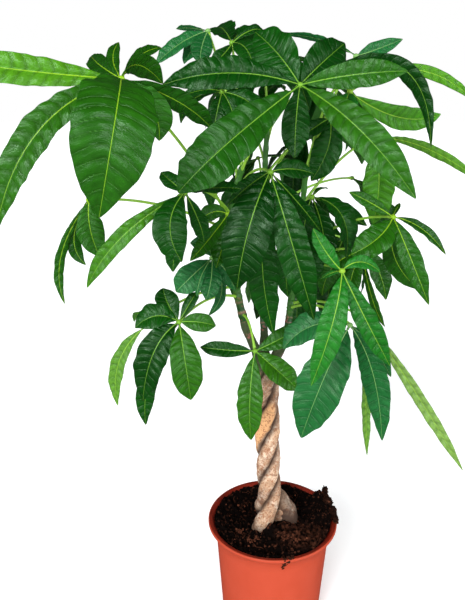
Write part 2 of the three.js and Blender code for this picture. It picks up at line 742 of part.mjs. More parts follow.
const LEAF_TONES = { dark: 0x1f4d22, mid: 0x2f6b1a, bright: 0x3c8a1c, teal: 0x2c5f3c, back: 0x24552a };
const finish = {
  pot: { color: 0xe4573a, roughness: 0.45 },
  soil: { color: 0x24150f, roughness: 1 },
  bark: { color: 0xb9977a, roughness: 0.9 },
  shoot: { color: 0x6f8f2e, roughness: 0.55 },
};

const group = new THREE.Group();

function addPiece(name, geometry, look, place = at(0, 0, 0)) {
  const material = new THREE.MeshStandardMaterial({ metalness: 0, ...look });
  const mesh = new THREE.Mesh(geometry, material);
  mesh.name = name;
  mesh.position.copy(place);
  group.add(mesh);
}

addPiece('pot', makePot(), finish.pot);

const STRANDS = [0, 1, 2];
addPiece('potting_mix', toGeometry(makeSoil(STRANDS.map((i) => makeStrand(i, fit)))), finish.soil);
STRANDS.forEach((i) => {
  addPiece(`trunk_${i + 1}`, makeStrand(i), finish.bark);
  take(strandTop(strandPath(i), i).centres, 'trunk');
});

const leaves = Object.entries(LEAVES).map(([name, leaf]) => ({ name: `leaf_${name}`, ...leaf }));
BACK_HUBS.forEach((place, i) => {
  const from = ['back', BACK_STALKS.top - BACK_STALKS.step * i];
  leaves.push({ name: `leaf_back_${i + 1}`, hub: place, from, tone: 'back' });
});

for (const name of Object.keys(SHOOTS)) take(pointsAlong(shootCurve(name), 0, cell), name);

for (const leaf of leaves) {
  leaf.centre = seen(leaf.hub);
  take([leaf.centre], leaf.name);
}

// How far a stalk may bow up: the first one that is clear of the other shoots and hubs
const LIFTS = [12, 4, 20, -4, 28, -12, 36, -20, 44];
for (const leaf of leaves) {
  const [shoot] = leaf.from;
  const lift = LIFTS.find((one) => isFree(pointsAlong(stalkCurve(leaf, one), 0, cell), shoot, leaf.name));
  leaf.stalk = stalkCurve(leaf, lift ?? LIFTS[0]);
  take(pointsAlong(leaf.stalk, 0, cell), shoot);
}

for (const name of Object.keys(SHOOTS)) {
  addPiece(`shoot_${name}`, toGeometry(makeShoot(name, leaves)), finish.shoot);
}

const leafRoll = 9; // degrees that a blade in view may twist to either side
const backRoll = 12;
const backTurn = 8;

function seenBlades(leaf) {
  return leaf.blades.map((row) => fitSeenBlade(leaf, row, draw(-leafRoll, leafRoll) * degree));
}

function hiddenBlades(leaf) {
  const start = draw(0, 360);
  return Array.from({ length: backLeaf.blades }, (_, i) => {
    const way = start + (360 * i) / backLeaf.blades + draw(-backTurn, backTurn);
    const length = draw(...backLeaf.length);
    const droop = draw(...backLeaf.droop);
    return fitHiddenBlade(leaf, way, length, droop, draw(-backRoll, backRoll) * degree);
  });
}

// A blade that finds no room is left out, and the others meet in the knot at the hub. The leaf has room
// inside it for the end of its stalk.
for (const leaf of leaves) {
  const shapes = (leaf.blades ? seenBlades(leaf) : hiddenBlades(leaf)).filter((shape) => shape);
  shapes.forEach((shape) => take(bladePoints(shape), leaf.name));
  const knot = new THREE.IcosahedronGeometry(hub.radius, 0);
  knot.translate(leaf.centre.x, leaf.centre.y, leaf.centre.z);
  const solid = shapes.reduce((whole, shape) => whole.add(bladeSolid(shape)), toSolid(knot));
  const geometry = toGeometry(solid.subtract(toSolid(stalkTube(leaf, fit))));
  geometry.translate(-leaf.centre.x, -leaf.centre.y, -leaf.centre.z);
  addPiece(leaf.name, geometry, { color: LEAF_TONES[leaf.tone], roughness: 0.35 }, leaf.centre);
}

export default group;
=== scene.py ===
# %% [markdown]
# # A potted money tree
#
# Three stout young trunks are twisted together and stand in peat in a thin orange grow pot. Green shoots
# carry long leaf stalks, and each stalk ends in a hand of glossy leaflets. A fixed frame of plain solids
# says where every leaf, shoot and trunk is. This lesson dresses that frame: each solid is replaced by a
# fine surface that keeps its form.
#
# Lengths are in millimetres and turn into metres only when a mesh is filled.

# %% Load the frame
import math
from itertools import product

import bpy
import numpy as np
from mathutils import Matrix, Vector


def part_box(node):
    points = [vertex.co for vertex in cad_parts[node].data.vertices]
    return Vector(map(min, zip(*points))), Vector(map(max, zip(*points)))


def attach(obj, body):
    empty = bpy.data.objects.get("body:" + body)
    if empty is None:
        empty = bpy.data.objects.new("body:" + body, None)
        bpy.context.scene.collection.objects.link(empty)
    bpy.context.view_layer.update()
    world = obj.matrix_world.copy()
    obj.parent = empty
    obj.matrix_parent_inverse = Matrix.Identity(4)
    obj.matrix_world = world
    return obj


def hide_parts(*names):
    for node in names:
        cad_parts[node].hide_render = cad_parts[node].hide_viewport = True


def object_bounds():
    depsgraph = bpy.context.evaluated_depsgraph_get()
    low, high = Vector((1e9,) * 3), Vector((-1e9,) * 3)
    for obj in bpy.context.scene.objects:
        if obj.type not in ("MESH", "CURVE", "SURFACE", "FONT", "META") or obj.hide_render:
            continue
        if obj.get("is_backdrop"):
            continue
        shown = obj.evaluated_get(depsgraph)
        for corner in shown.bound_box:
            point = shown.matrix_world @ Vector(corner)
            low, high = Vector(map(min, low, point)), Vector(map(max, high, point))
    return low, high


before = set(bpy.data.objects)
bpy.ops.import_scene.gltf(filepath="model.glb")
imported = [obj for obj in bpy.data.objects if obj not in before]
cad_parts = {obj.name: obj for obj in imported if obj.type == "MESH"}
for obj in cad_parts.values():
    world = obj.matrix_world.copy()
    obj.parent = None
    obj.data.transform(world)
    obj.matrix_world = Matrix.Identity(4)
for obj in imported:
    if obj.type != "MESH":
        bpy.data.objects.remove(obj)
cad_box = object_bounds()
MM = 0.001
print("nodes in the frame:", len(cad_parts))

# %% [markdown]
# ## The camera
#
# The picture is taken from in front of the plant and a little above its middle, looking down by 19
# degrees. The same eye is used below to turn places in the picture into places in the room, so its
# values are named once here.

# %% Camera
PHOTO = (465, 600)  # width and height of the picture, in pixels
EYE = np.array([-53.0, -751.0, 717.0])
PITCH = math.radians(19.2)  # how far the camera looks down
FOCAL = 673.0  # focal length, in pixels
SENSOR = 36.0

camera_data = bpy.data.cameras.new("camera")
camera_data.sensor_fit = "VERTICAL"
camera_data.sensor_height = SENSOR
camera_data.lens = SENSOR * FOCAL / PHOTO[1]
camera_data.clip_end = 50
camera = bpy.data.objects.new("camera", camera_data)
camera.location = EYE * MM
camera.rotation_euler = (math.pi / 2 - PITCH, 0, 0)
bpy.context.scene.collection.objects.link(camera)
bpy.context.scene.camera = camera
print("lens:", round(camera_data.lens, 2), "mm")


# %% [markdown]
# ## Closed skins
#
# Nearly every piece of a plant is a long shape with a closed section: a stalk, a root, and even a leaf,
# whose section is a very flat ring. So one function is enough to turn rings of points into a closed mesh:
# it joins each ring to the next with quads and closes both ends on a middle point. Modelling by hand or
# with curve objects would work too, but arrays keep thousands of points in step with a few formulas.

# %% A mesh from rings of points
def closed_skin(rings):
    """Points and faces of a closed surface over rings (count x around x 3).

    Quads join neighbouring rings, and a fan of triangles meets at the middle of the first and last ring.
    Rings that run anticlockwise about their own direction of travel give faces that point outwards.
    """
    count, around, _ = rings.shape
    points = np.vstack([rings.reshape(-1, 3), rings[0].mean(0), rings[-1].mean(0)])
    corner = np.arange(count * around).reshape(count, around)
    beside = np.roll(corner, -1, axis=1)
    quads = np.stack([corner[:-1], beside[:-1], beside[1:], corner[1:]], axis=-1).reshape(-1, 4)
    first = np.full(around, count * around)
    start = np.stack([beside[0], corner[0], first], axis=-1)
    end = np.stack([corner[-1], beside[-1], first + 1], axis=-1)
    return points, quads, np.vstack([start, end])


# %% Several skins in one mesh
class Batch:
    """Collects skins and their marks (named values at each point), to be filled into one mesh."""

    def __init__(self):
        self.points, self.quads, self.triangles, self.marks = [], [], [], {}
        self.size = 0

    def add(self, skin, **marks):
        points, quads, triangles = skin
        self.points.append(points)
        self.quads.append(quads + self.size)
        self.triangles.append(triangles + self.size)
        self.size += len(points)
        for name, values in marks.items():
            full = np.broadcast_to(values, (len(points), *np.shape(values)[1:]))
            self.marks.setdefault(name, []).append(full)


def grid_marks(values):
    """Marks for a closed skin: one value for each ring point, then the two end points' values."""
    flat = values.reshape(-1, *values.shape[2:])
    return np.concatenate([flat, values[0].mean(0, keepdims=True), values[-1].mean(0, keepdims=True)])


# %% Fill a mesh and hang it on the frame
def make_piece(name, batch, material, replaced=()):
    """One object at the origin: points in metres, smooth faces, marks as attributes, riding on the frame."""
    mesh = bpy.data.meshes.new(name)
    points = np.vstack(batch.points) * MM
    quads = np.vstack(batch.quads)
    triangles = np.vstack(batch.triangles)
    sizes = np.concatenate([np.full(len(quads), 4), np.full(len(triangles), 3)])
    corners = np.concatenate([quads.ravel(), triangles.ravel()])
    mesh.vertices.add(len(points))
    mesh.vertices.foreach_set("co", points.astype(np.float32).ravel())
    mesh.loops.add(len(corners))
    mesh.loops.foreach_set("vertex_index", corners.astype(np.int32))
    mesh.polygons.add(len(sizes))
    mesh.polygons.foreach_set("loop_start", np.concatenate([[0], np.cumsum(sizes)[:-1]]).astype(np.int32))
    mesh.update(calc_edges=True)
    mesh.shade_smooth()
    for mark, values in batch.marks.items():
        values = np.concatenate(values).astype(np.float32)
        kind, field = ("FLOAT_VECTOR", "vector") if values.ndim == 2 else ("FLOAT", "value")
        mesh.attributes.new(mark, kind, "POINT").data.foreach_set(field, values.ravel())
    mesh.materials.append(material)
    piece = bpy.data.objects.new(name, mesh)
    bpy.context.scene.collection.objects.link(piece)
    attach(piece, "root")
    if replaced:
        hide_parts(*replaced)
    print(f"{name}: {2 * len(quads) + len(triangles)} triangles")
    return piece


# %% [markdown]
# ## Curves
#
# Each leaf rib, stalk and shoot is one parabola through three points, which is about how a weight bends a
# springy stem. Tubes are rings set square to such a curve.

# %% Parabola and directions
def unit(vectors):
    """Vectors scaled to length one."""
    return vectors / np.linalg.norm(vectors, axis=-1, keepdims=True)


class Bow:
    """The parabola from a, through b half way, to c: point = (1-t)(1-2t) a + 4t(1-t) b + t(2t-1) c."""

    def __init__(self, a, b, c):
        self.a, self.b, self.c = (np.asarray(p, float) for p in (a, b, c))
        self.length = np.linalg.norm(self.b - self.a) + np.linalg.norm(self.c - self.b)

    def point(self, t):
        t = np.asarray(t, float)[..., None]
        return (1 - t) * (1 - 2 * t) * self.a + 4 * t * (1 - t) * self.b + t * (2 * t - 1) * self.c

    def heading(self, t):
        t = np.asarray(t, float)[..., None]
        return unit((4 * t - 3) * self.a + (4 - 8 * t) * self.b + (4 * t - 1) * self.c)


def tube_rings(centres, radii, around, reference):
    """Rings square to a path. radii has a value for each ring, or for each ring and direction; reference
    is the direction that each ring starts in, made square to the path."""
    centres = np.asarray(centres, float)
    heading = unit(np.concatenate([centres[1:2] - centres[:1], centres[2:] - centres[:-2],
                                   centres[-1:] - centres[-2:-1]]))
    reference = np.broadcast_to(reference, centres.shape)
    first = unit(reference - heading * (reference * heading).sum(-1, keepdims=True))
    second = np.cross(heading, first)
    turn = 2 * np.pi * np.arange(around) / around
    radii = np.asarray(radii, float)
    radii = radii[:, None] if radii.ndim == 1 else radii
    return (centres[:, None] + first[:, None] * (radii * np.cos(turn))[..., None]
            + second[:, None] * (radii * np.sin(turn))[..., None])


def ease(low, high, values):
    """0 below low, 1 above high, and a smooth S between them."""
    share = np.clip((values - low) / (high - low), 0, 1)
    return share * share * (3 - 2 * share)


# %% [markdown]
# ## Noise
#
# Bark, peat and leaf blades all need smooth randomness that is the same on each run. Blender has noise
# functions, but they take one point at a time. This one hashes the corners of a cube grid and blends
# them, for all the points at once.

# %% Value noise
def corner_values(cells, seed):
    """A number from 0 to 1 for each whole-number grid corner: its three places, multiplied and mixed."""
    mixed = (cells[..., 0] * 73856093) ^ (cells[..., 1] * 19349663) ^ (cells[..., 2] * 83492791)
    mixed = (mixed ^ (seed * 2654435761)) & 0xFFFFFFFF
    mixed = ((mixed ^ (mixed >> 13)) * 1274126177) & 0xFFFFFFFF
    return ((mixed ^ (mixed >> 16)) & 0xFFFF) / 65535


def noise(points, size, seed=0):
    """Smooth numbers from -1 to 1 whose lumps are about size across: eased blend of eight corner values."""
    scaled = np.asarray(points, float) / size
    cells = np.floor(scaled).astype(np.int64)
    share = scaled - cells
    share = share * share * (3 - 2 * share)
    total = np.zeros(scaled.shape[:-1])
    for corner in product((0, 1), repeat=3):
        weight = np.prod(np.where(corner, share, 1 - share), axis=-1)
        total += weight * corner_values(cells + np.array(corner), seed)
    return 2 * total - 1


# %% [markdown]
# ## Materials
#
# A material is a small graph of nodes. The one helper below adds a node, sets its own properties and
# fills its sockets, by value or by a link from another node. Colours are written as the hex values that a
# paint program shows, and turned to linear light here.

# %% Node helper
def linear(text, alpha=1.0):
    """An sRGB hex colour as linear red, green, blue and alpha."""
    values = [int(text[i:i + 2], 16) / 255 for i in (1, 3, 5)]
    return (*[v / 12.92 if v <= 0.04045 else ((v + 0.055) / 1.055) ** 2.4 for v in values], alpha)


def add(material, kind, sockets=None, out=0, **settings):
    """Adds a node and returns its output (or the node itself, where out is None). sockets maps an input's
    name or number to a value or to the output of another node; settings are the node's own properties."""
    tree = material.node_tree
    made = tree.nodes.new(kind)
    for name, value in settings.items():
        setattr(made, name, value)
    plug(material, made, sockets or {})
    return made if out is None else made.outputs[out]


def plug(material, node, sockets):
    """Links or sets the inputs of a node."""
    for key, value in sockets.items():
        if isinstance(value, bpy.types.NodeSocket):
            material.node_tree.links.new(value, node.inputs[key])
        else:
            node.inputs[key].default_value = value


def new_material(name):
    """An empty material with its shader, and the shader node."""
    material = bpy.data.materials.new(name)
    material.use_nodes = True
    return material, material.node_tree.nodes["Principled BSDF"]


# A Mix node for colours: its sockets for the share and the two colours, and what else add is told for it
SHARE, FIRST, SECOND = 0, 6, 7
COLOURS = {"out": 2, "data_type": "RGBA"}

# %% [markdown]
# ## The pot
#
# A grow pot is a thin moulded cup of polypropylene with a rolled rim. It is a turned shape: one outline,
# carried round the upright axis. The outline runs from the middle of the underside, out and up the wall,
# over the rolled rim and down the inside. Each corner of the rim is a small arc, because moulded plastic
# has no sharp edge, and the arc is what catches the light. The drain holes are cut by a Boolean.

# %% Pot sizes
POT_HEIGHT = 150.0
RIM_RADIUS = 85.0
RIM_INNER = 80.0
LIP = 4.0  # height of the rolled rim
NECK = 75.6  # outside of the wall, just under the rim
BASE = 65.2  # outside of the wall, at the bottom
WALL = 1.6
FLOOR = 2.4
DRAIN_HOLES, DRAIN_RADIUS, DRAIN_CIRCLE = 6, 4.5, 42.0


def wall_radius(height):
    """Outside radius of the wall: it widens evenly from the base to the neck."""
    return BASE + (NECK - BASE) * height / (POT_HEIGHT - LIP)


# %% Rounded outline
def rounded(corners, step=0.4):
    """An outline through corners (radius, height, rounding): each corner becomes an arc that touches both
    of its sides, with a point about every step millimetres. A rounding of 0 keeps the corner itself."""
    places = np.array([c[:2] for c in corners], float)
    line = [places[:1]]
    for i in range(1, len(corners) - 1):
        if corners[i][2] == 0:
            line.append(places[i:i + 1])
            continue
        before, here, after = places[i - 1], places[i], places[i + 1]
        to_before, to_after = unit(before - here), unit(after - here)
        half_angle = math.acos(np.clip(to_before @ to_after, -1, 1)) / 2
        trim = corners[i][2] / math.tan(half_angle)
        first, last = here + to_before * trim, here + to_after * trim
        count = max(int(corners[i][2] * (math.pi - 2 * half_angle) / step), 1) + 1
        centre = here + unit(to_before + to_after) * corners[i][2] / math.sin(half_angle)
        share = np.linspace(0, 1, count + 1)[:, None]
        arc = centre + unit(first + (last - first) * share - centre) * corners[i][2]
        line.append(arc)
    line.append(places[-1:])
    return np.vstack(line)


# %% Turned shape
def turned(outline, around):
    """Rings of an outline (radius, height) carried round the upright axis."""
    turn = 2 * np.pi * np.arange(around) / around
    circle = np.stack([np.cos(turn), np.sin(turn)], -1)
    flat = outline[:, None, :1] * circle
    height = np.broadcast_to(outline[:, None, 1:], (*flat.shape[:2], 1))
    return np.concatenate([flat, height], -1)


UNDER_LIP = POT_HEIGHT - LIP
POT_OUTLINE = rounded([
    (0.5, 0, 0), (30, 0, 0), (52, 0, 0), (BASE, 0, 2.2), (wall_radius(40), 40, 0),
    (wall_radius(90), 90, 0), (wall_radius(UNDER_LIP - 18), UNDER_LIP - 18, 40),
    (NECK + 3, UNDER_LIP - 7, 30), (RIM_RADIUS - 0.8, UNDER_LIP, 0.4), (RIM_RADIUS, UNDER_LIP + 0.8, 0.6),
    (RIM_RADIUS, POT_HEIGHT, 1.5), (RIM_INNER, POT_HEIGHT, 1.2), (NECK - WALL, UNDER_LIP - 2, 3),
    (wall_radius(70) - WALL, 70, 0),
    (BASE - WALL, FLOOR, 1.5), (52, FLOOR, 0), (30, FLOOR, 0), (0.5, FLOOR, 0),
])
print("pot outline:", len(POT_OUTLINE), "points")

# %% [markdown]
# ### Polypropylene, injection moulded
#
# Thin orange polypropylene has a satin skin: the highlights are broad and soft, and smudges from handling
# break up the shine. The inside of the wall and the top of the rim get a darker red that is painted shade,
# with peat dust clinging there as well. The Scale of a noise is how many of its lumps fit in a metre:
# smudges of 22 mm need 45, and grit of 1.4 mm needs 700.

# %% Pot plastic
pot_plastic, shader = new_material("orange moulded polypropylene")
place = add(pot_plastic, "ShaderNodeTexCoord", out="Object")
inside = add(pot_plastic, "ShaderNodeAttribute", out="Fac", attribute_name="inside")
smudge = add(pot_plastic, "ShaderNodeTexNoise", {"Vector": place, "Scale": 45.0, "Detail": 5.0}, out="Fac")
grit = add(pot_plastic, "ShaderNodeTexNoise", {"Vector": place, "Scale": 700.0, "Detail": 2.0}, out="Fac")
dusty = add(pot_plastic, "ShaderNodeMath", {0: smudge, 1: grit}, operation="MULTIPLY")
dusty = add(pot_plastic, "ShaderNodeMapRange", {"Value": dusty, "From Min": 0.24, "From Max": 0.42})
outer_colour = add(pot_plastic, "ShaderNodeMix",
                   {SHARE: smudge, FIRST: linear("#a23a22"), SECOND: linear("#ac4028")}, **COLOURS)
# The inner colour is painted shade, darker red on the inside wall and the rim's top, with patches of peat
# dust
inner_shade_and_dust_colour = add(pot_plastic, "ShaderNodeMix",
                   {SHARE: dusty, FIRST: linear("#741c0c"), SECOND: linear("#38120a")}, **COLOURS)
colour = add(pot_plastic, "ShaderNodeMix", {SHARE: inside, FIRST: outer_colour, SECOND: inner_shade_and_dust_colour},
             **COLOURS)
rough = add(pot_plastic, "ShaderNodeMapRange", {"Value": smudge, "From Min": 0.3, "From Max": 0.7,
            "To Min": 0.36, "To Max": 0.5})
relief = add(pot_plastic, "ShaderNodeBump", {"Strength": 0.15, "Distance": 0.2 * MM, "Height": smudge})
plug(pot_plastic, shader, {"Base Color": colour, "Roughness": rough, "IOR": 1.49, "Specular IOR Level": 0.2,
                           "Normal": relief})

# %% Pot
AROUND_POT = 256
batch = Batch()
pot_rings = turned(POT_OUTLINE, AROUND_POT)
# From the top of the rim inwards the pot takes the inner colour: painted shade and peat dust
past_rim = np.arange(len(POT_OUTLINE)) >= POT_OUTLINE[:, 1].argmax()
batch.add(closed_skin(pot_rings), inside=grid_marks(np.broadcast_to(past_rim[:, None], pot_rings.shape[:2])))
pot = make_piece("grow_pot", batch, pot_plastic, replaced=("pot",))

# %% Drain holes
DRILL = (-5, 8)  # heights from which and to which each hole is drilled
drill_mesh = bpy.data.meshes.new("drain drills")
drills = bpy.data.objects.new("drain_drills", drill_mesh)
drill_batch = Batch()
for i in range(DRAIN_HOLES):
    angle = 2 * math.pi * i / DRAIN_HOLES
    column = np.array([[DRAIN_CIRCLE * math.cos(angle), DRAIN_CIRCLE * math.sin(angle), z] for z in DRILL])
    drill_batch.add(closed_skin(tube_rings(column, [DRAIN_RADIUS, DRAIN_RADIUS], 32, (1, 0, 0))))
drill_mesh.from_pydata(np.vstack(drill_batch.points) * MM, [],
                       [*np.vstack(drill_batch.quads).tolist(), *np.vstack(drill_batch.triangles).tolist()])
bpy.context.scene.collection.objects.link(drills)
cut = pot.modifiers.new("drain holes", "BOOLEAN")
cut.operation = "DIFFERENCE"
cut.solver = "EXACT"
cut.object = drills
with bpy.context.temp_override(object=pot, active_object=pot, selected_objects=[pot]):
    bpy.ops.object.modifier_apply(modifier=cut.name)
bpy.data.objects.remove(drills)
print("pot faces after drilling:", len(pot.data.polygons))

# %% [markdown]
# ## Where the shoots stand
#
# Green shoots and leaves were placed by reading the picture: each place is a pixel (across, down) and a
# depth, and the function below follows the ray through that pixel from the eye until it reaches the
# depth. The shoots come first, because the trunks lean over to meet them.

# %% A place in the picture as a place in the room
def seen(place):
    """A pixel of the picture with a chosen depth (Y), as a point in the room."""
    across, down, depth = place
    x = (across - PHOTO[0] / 2) / FOCAL
    y = (down - PHOTO[1] / 2) / FOCAL
    run = (depth - EYE[1]) / (math.cos(PITCH) - y * math.sin(PITCH))
    drop = math.sin(PITCH) + y * math.cos(PITCH)
    return np.array([EYE[0] + run * x, depth, EYE[2] - run * drop])


# Each shoot's foot, middle and top, its radius at foot and top, and the trunk that it grows from
SHOOTS = {
    "left": {"path": ((244, 320, -12), (231, 240, -10), (242, 168, -15)), "radius": (4.6, 3), "strand": 0},
    "right": {"path": ((288, 326, 10), (295, 270, 16), (306, 172, 5)), "radius": (4.4, 2.8), "strand": 1},
    "back": {"path": ((264, 328, 34), (262, 240, 62), (268, 118, 70)), "radius": (4.4, 2.8), "strand": 2},
}
shoot_curves = {name: Bow(*(seen(place) for place in shoot["path"])) for name, shoot in SHOOTS.items()}

# %% [markdown]
# ## The trunks
#
# Growers plant three seedlings together and twist them while they are soft. Each trunk is then a helix
# round a common axis. At the soil the roots spread: each strand gets thicker and moves out its own way.
# At the top each strand leaves the twist in a smooth bend to the foot of its shoot.

# %% Twist sizes
TRUNK_FOOT = np.array([-3.5, 0.0, 143.0])  # where the twist's axis leaves the soil
TRUNK_CROWN = np.array([-12.0, 0.0, 372.0])  # where the twist ends
BURIED = 43.0  # depth of the roots under the foot
TWIST_PITCH = 139.0  # height of one full turn
TWIST_PHASE = 293.0  # height at which the first strand stands on the +X side
STRAND_RADIUS, TWIST_RADIUS = 6.9, 8.4
# For each strand: how its root spreads from the twist, its gain in radius, and the height of the spread
ROOTS = ((16, 8), 8, 34), ((-4, 12), 4, 24), ((-6, -12), 3.5, 26)
FRAME_RISE = TWIST_PITCH / 16  # height between two rings of the frame's strands
FINE_RISE = 1.1  # height between two rings of a fine strand
SHOOT_STEPS = 8  # pieces of the frame's shoots
LEAVE, ARRIVE = 0.4, 0.35  # pull of the bend at the top at its two ends, as shares of its length
STRAIGHT = 3.0  # length of its last, straight piece
COLLAR = 0.4  # how much wider than the shoot it ends
BEND_POINTS = 50
GAP = 0.35  # clearance between solids that touch


def flare(height, strand):
    """How much of a root's spread is left: 1 at the soil and below, then e^-(height above it / its own)^3."""
    return np.exp(-(np.maximum(height - TRUNK_FOOT[2], 0) / ROOTS[strand][2]) ** 3)


def twist(height, strand):
    """Centre, outward direction and radius of a strand: axis + outward * twist radius + the root's spread."""
    height = np.asarray(height, float)
    angle = 2 * np.pi * ((np.maximum(height, TRUNK_FOOT[2]) - TWIST_PHASE) / TWIST_PITCH + strand / 3)
    outward = np.stack([np.cos(angle), np.sin(angle), 0 * angle], -1)
    share = (height - TRUNK_FOOT[2]) / (TRUNK_CROWN[2] - TRUNK_FOOT[2])
    axis = TRUNK_FOOT + (TRUNK_CROWN - TRUNK_FOOT) * share[..., None]
    reach, gain, _ = ROOTS[strand]
    spread = flare(height, strand)[..., None]
    centre = axis + outward * TWIST_RADIUS + np.array([*reach, 0]) * spread
    return centre, outward, STRAND_RADIUS + gain * spread[..., 0]


# %% A whole strand
def strand_path(strand):
    """Centres, outward directions and radii: the twist, then a cubic Bezier bend to the shoot's foot."""
    shoot = next(name for name, one in SHOOTS.items() if one["strand"] == strand)
    curve = shoot_curves[shoot]
    bottom = TRUNK_FOOT[2] - BURIED
    top = bottom + FRAME_RISE * round((TRUNK_CROWN[2] - bottom) / FRAME_RISE)
    centre, outward, radius = twist(np.arange(bottom, top, FINE_RISE), strand)
    (start, before), outward_top, _ = twist(np.array([top, top - FRAME_RISE]), strand)
    foot = curve.point(0)
    arrive = unit(curve.point(1 / SHOOT_STEPS) - foot)
    end = foot - arrive * GAP
    near_end = end - arrive * STRAIGHT
    reach = np.linalg.norm(start - foot)
    leave = unit(start - before)
    pulls = [start, start + leave * reach * LEAVE, near_end - arrive * reach * ARRIVE, near_end]
    t = np.linspace(0, 1, BEND_POINTS)[:, None]
    bend = sum(weight * pull for weight, pull in zip(
        ((1 - t) ** 3, 3 * t * (1 - t) ** 2, 3 * t * t * (1 - t), t ** 3), pulls))
    bend = np.vstack([bend, end])
    narrowing = np.linspace(STRAND_RADIUS, SHOOTS[shoot]["radius"][0] + COLLAR, len(bend))
    return (np.vstack([centre, bend]), np.vstack([outward, np.repeat(outward_top[:1], len(bend), 0)]),
            np.concatenate([radius, narrowing]))


# %% [markdown]
# ### Bark
#
# The bark of a young trunk is thin and papery. It has shallow furrows along the trunk, ring scars where
# leaves once stood, knobs, and patches where the outer skin has peeled to a paler layer. The furrows and
# knobs are real relief: the radius of each ring varies with noise that is stretched along the strand.

# %% Bark relief
def bark_relief(length, turn, size, strand):
    """Extra radius: long furrows + ring scars + knobs. length runs along the strand, turn is the angle."""
    round_place = np.stack([size * np.cos(turn), size * np.sin(turn), length], -1)
    furrows = noise(round_place * (1, 1, 0.16), 1.9, 11 + strand)
    fine = noise(round_place * (1, 1, 0.35), 0.9, 21 + strand)
    knobs = np.maximum(noise(round_place, 9.0, 31 + strand) - 0.25, 0)
    wander = noise(round_place * (0, 0, 1), 7.0, 41 + strand)
    scars = np.exp(-(np.sin(np.pi * (length / 31.0 + 0.5 * wander + strand / 3)) / 0.07) ** 2)
    swell = noise(round_place * (0, 0, 1), 24.0, 51 + strand)
    return 0.4 * furrows + 0.3 * fine + 2.0 * knobs - 0.25 * scars + 0.5 * swell, scars


PRESSED = 0.25  # how much wider a strand gets where its neighbours squeeze it
NEIGHBOURS = np.radians(150)  # how far from a strand's outward direction its two neighbours lie
OVERLAP = 0.4  # how far a strand reaches past the plane between it and a neighbour
OUT_OF_REACH = 30  # how far that plane moves away where nothing squeezes


def pressed_section(turn, radius, height, strand):
    """Radius of a squeezed section: radius * (1 + pressed * sin^2), cut off by the two planes through the
    axis that part the strand from its neighbours. The squeeze fades at the roots and above the twist."""
    squeeze = (1 - flare(height, strand)) * (1 - ease(TRUNK_CROWN[2] - 10, TRUNK_CROWN[2] + 8, height))
    facing = np.maximum(np.cos(turn - NEIGHBOURS), np.cos(turn + NEIGHBOURS))
    to_plane = TWIST_RADIUS * math.sin(math.pi / 3) / np.maximum(facing, 0.05) + OVERLAP
    wide = radius * (1 + PRESSED * squeeze * np.sin(turn) ** 2)
    return np.minimum(wide, to_plane + OUT_OF_REACH * (1 - squeeze))


# %% [markdown]
# The colours lie over each other in layers, much as on the real bark: dull brown, paler where the bark
# stands out and darker in its hollows (rubbed wear, and painted shade), then peeled patches, rusty specks,
# painted shade in the crevices between the strands, and green where the trunk becomes a stem. The patches
# are about 14 mm across, the specks 3 mm and the grain 1 mm.

# %% Bark material
bark, shader = new_material("papery bark")
place = add(bark, "ShaderNodeTexCoord", out="Object")
marks = add(bark, "ShaderNodeAttribute", out="Vector", attribute_name="bark")
crevice_shade, raised, green = add(bark, "ShaderNodeSeparateXYZ", {0: marks}, out=None).outputs
bare = add(bark, "ShaderNodeAttribute", out="Fac", attribute_name="bare")
patches = add(bark, "ShaderNodeTexNoise", {"Vector": place, "Scale": 70.0, "Detail": 6.0, "Roughness": 0.7},
              out="Fac")
specks = add(bark, "ShaderNodeTexNoise", {"Vector": place, "Scale": 360.0, "Detail": 3.0}, out="Fac")
grain = add(bark, "ShaderNodeTexNoise", {"Vector": place, "Scale": 900.0, "Detail": 4.0}, out="Fac")
uneven = add(bark, "ShaderNodeMath", {0: grain, 1: 2.4, 2: raised}, operation="MULTIPLY_ADD")
# Each share rises from 0 to its most while its pattern rises from low to high
wear_and_relief_shade, peeling, rust, scarred = (
    add(bark, "ShaderNodeMapRange", {"Value": pattern, "From Min": low, "From Max": high, "To Max": most})
    for pattern, low, high, most in ((uneven, 0.5, 2.1, 1.0), (patches, 0.48, 0.66, 0.8),
                                     (specks, 0.53, 0.61, 0.8), (patches, 0.56, 0.61, 1.0)))
corky = add(bark, "ShaderNodeMix", {SHARE: scarred, FIRST: linear("#16380c"), SECOND: linear("#7c3c34")},
            **COLOURS)
colour = linear("#624230")
# The wear layer is partly painted shade: paler on raised bark, darker in its hollows. The crevice layer is
# painted shade between the strands.
for share, layer in ((wear_and_relief_shade, linear("#be9878")), (peeling, linear("#e0cab4")), (bare, linear("#cc9868")),
                     (rust, linear("#8a5434")), (crevice_shade, linear("#3a2416")), (green, corky)):
    colour = add(bark, "ShaderNodeMix", {SHARE: share, FIRST: colour, SECOND: layer}, **COLOURS)
relief = add(bark, "ShaderNodeBump", {"Strength": 0.5, "Distance": 0.5 * MM, "Height": grain})
plug(bark, shader, {"Base Color": colour, "Roughness": 0.82, "Normal": relief})

# %% [markdown]
# ### Roots and marks
#
# The root at the right is the part of the trunk that shows its age: it is folded and hollow, and wrinkled
# lobes fill the corner between it and the foot in front. A lobe is a ball whose radius varies. The marks
# tell the bark material where to lay its layers.

# %% Root at the right
# Place and size of the lobes of each strand that has some
ROOT_LOBES = {0: (((9, -1, 149), (8, 7, 13)), ((19, -2, 145), (8, 6, 7)))}


def ball(around, rows):
    """Rings of a ball of radius one, without its poles."""
    down = np.pi * (np.arange(rows) + 0.5) / rows
    turn = 2 * np.pi * np.arange(around) / around
    ring = np.stack([np.cos(turn), np.sin(turn)], -1)
    return np.concatenate([np.sin(down)[:, None, None] * ring,
                           np.broadcast_to(-np.cos(down)[:, None, None], (rows, around, 1))], -1)


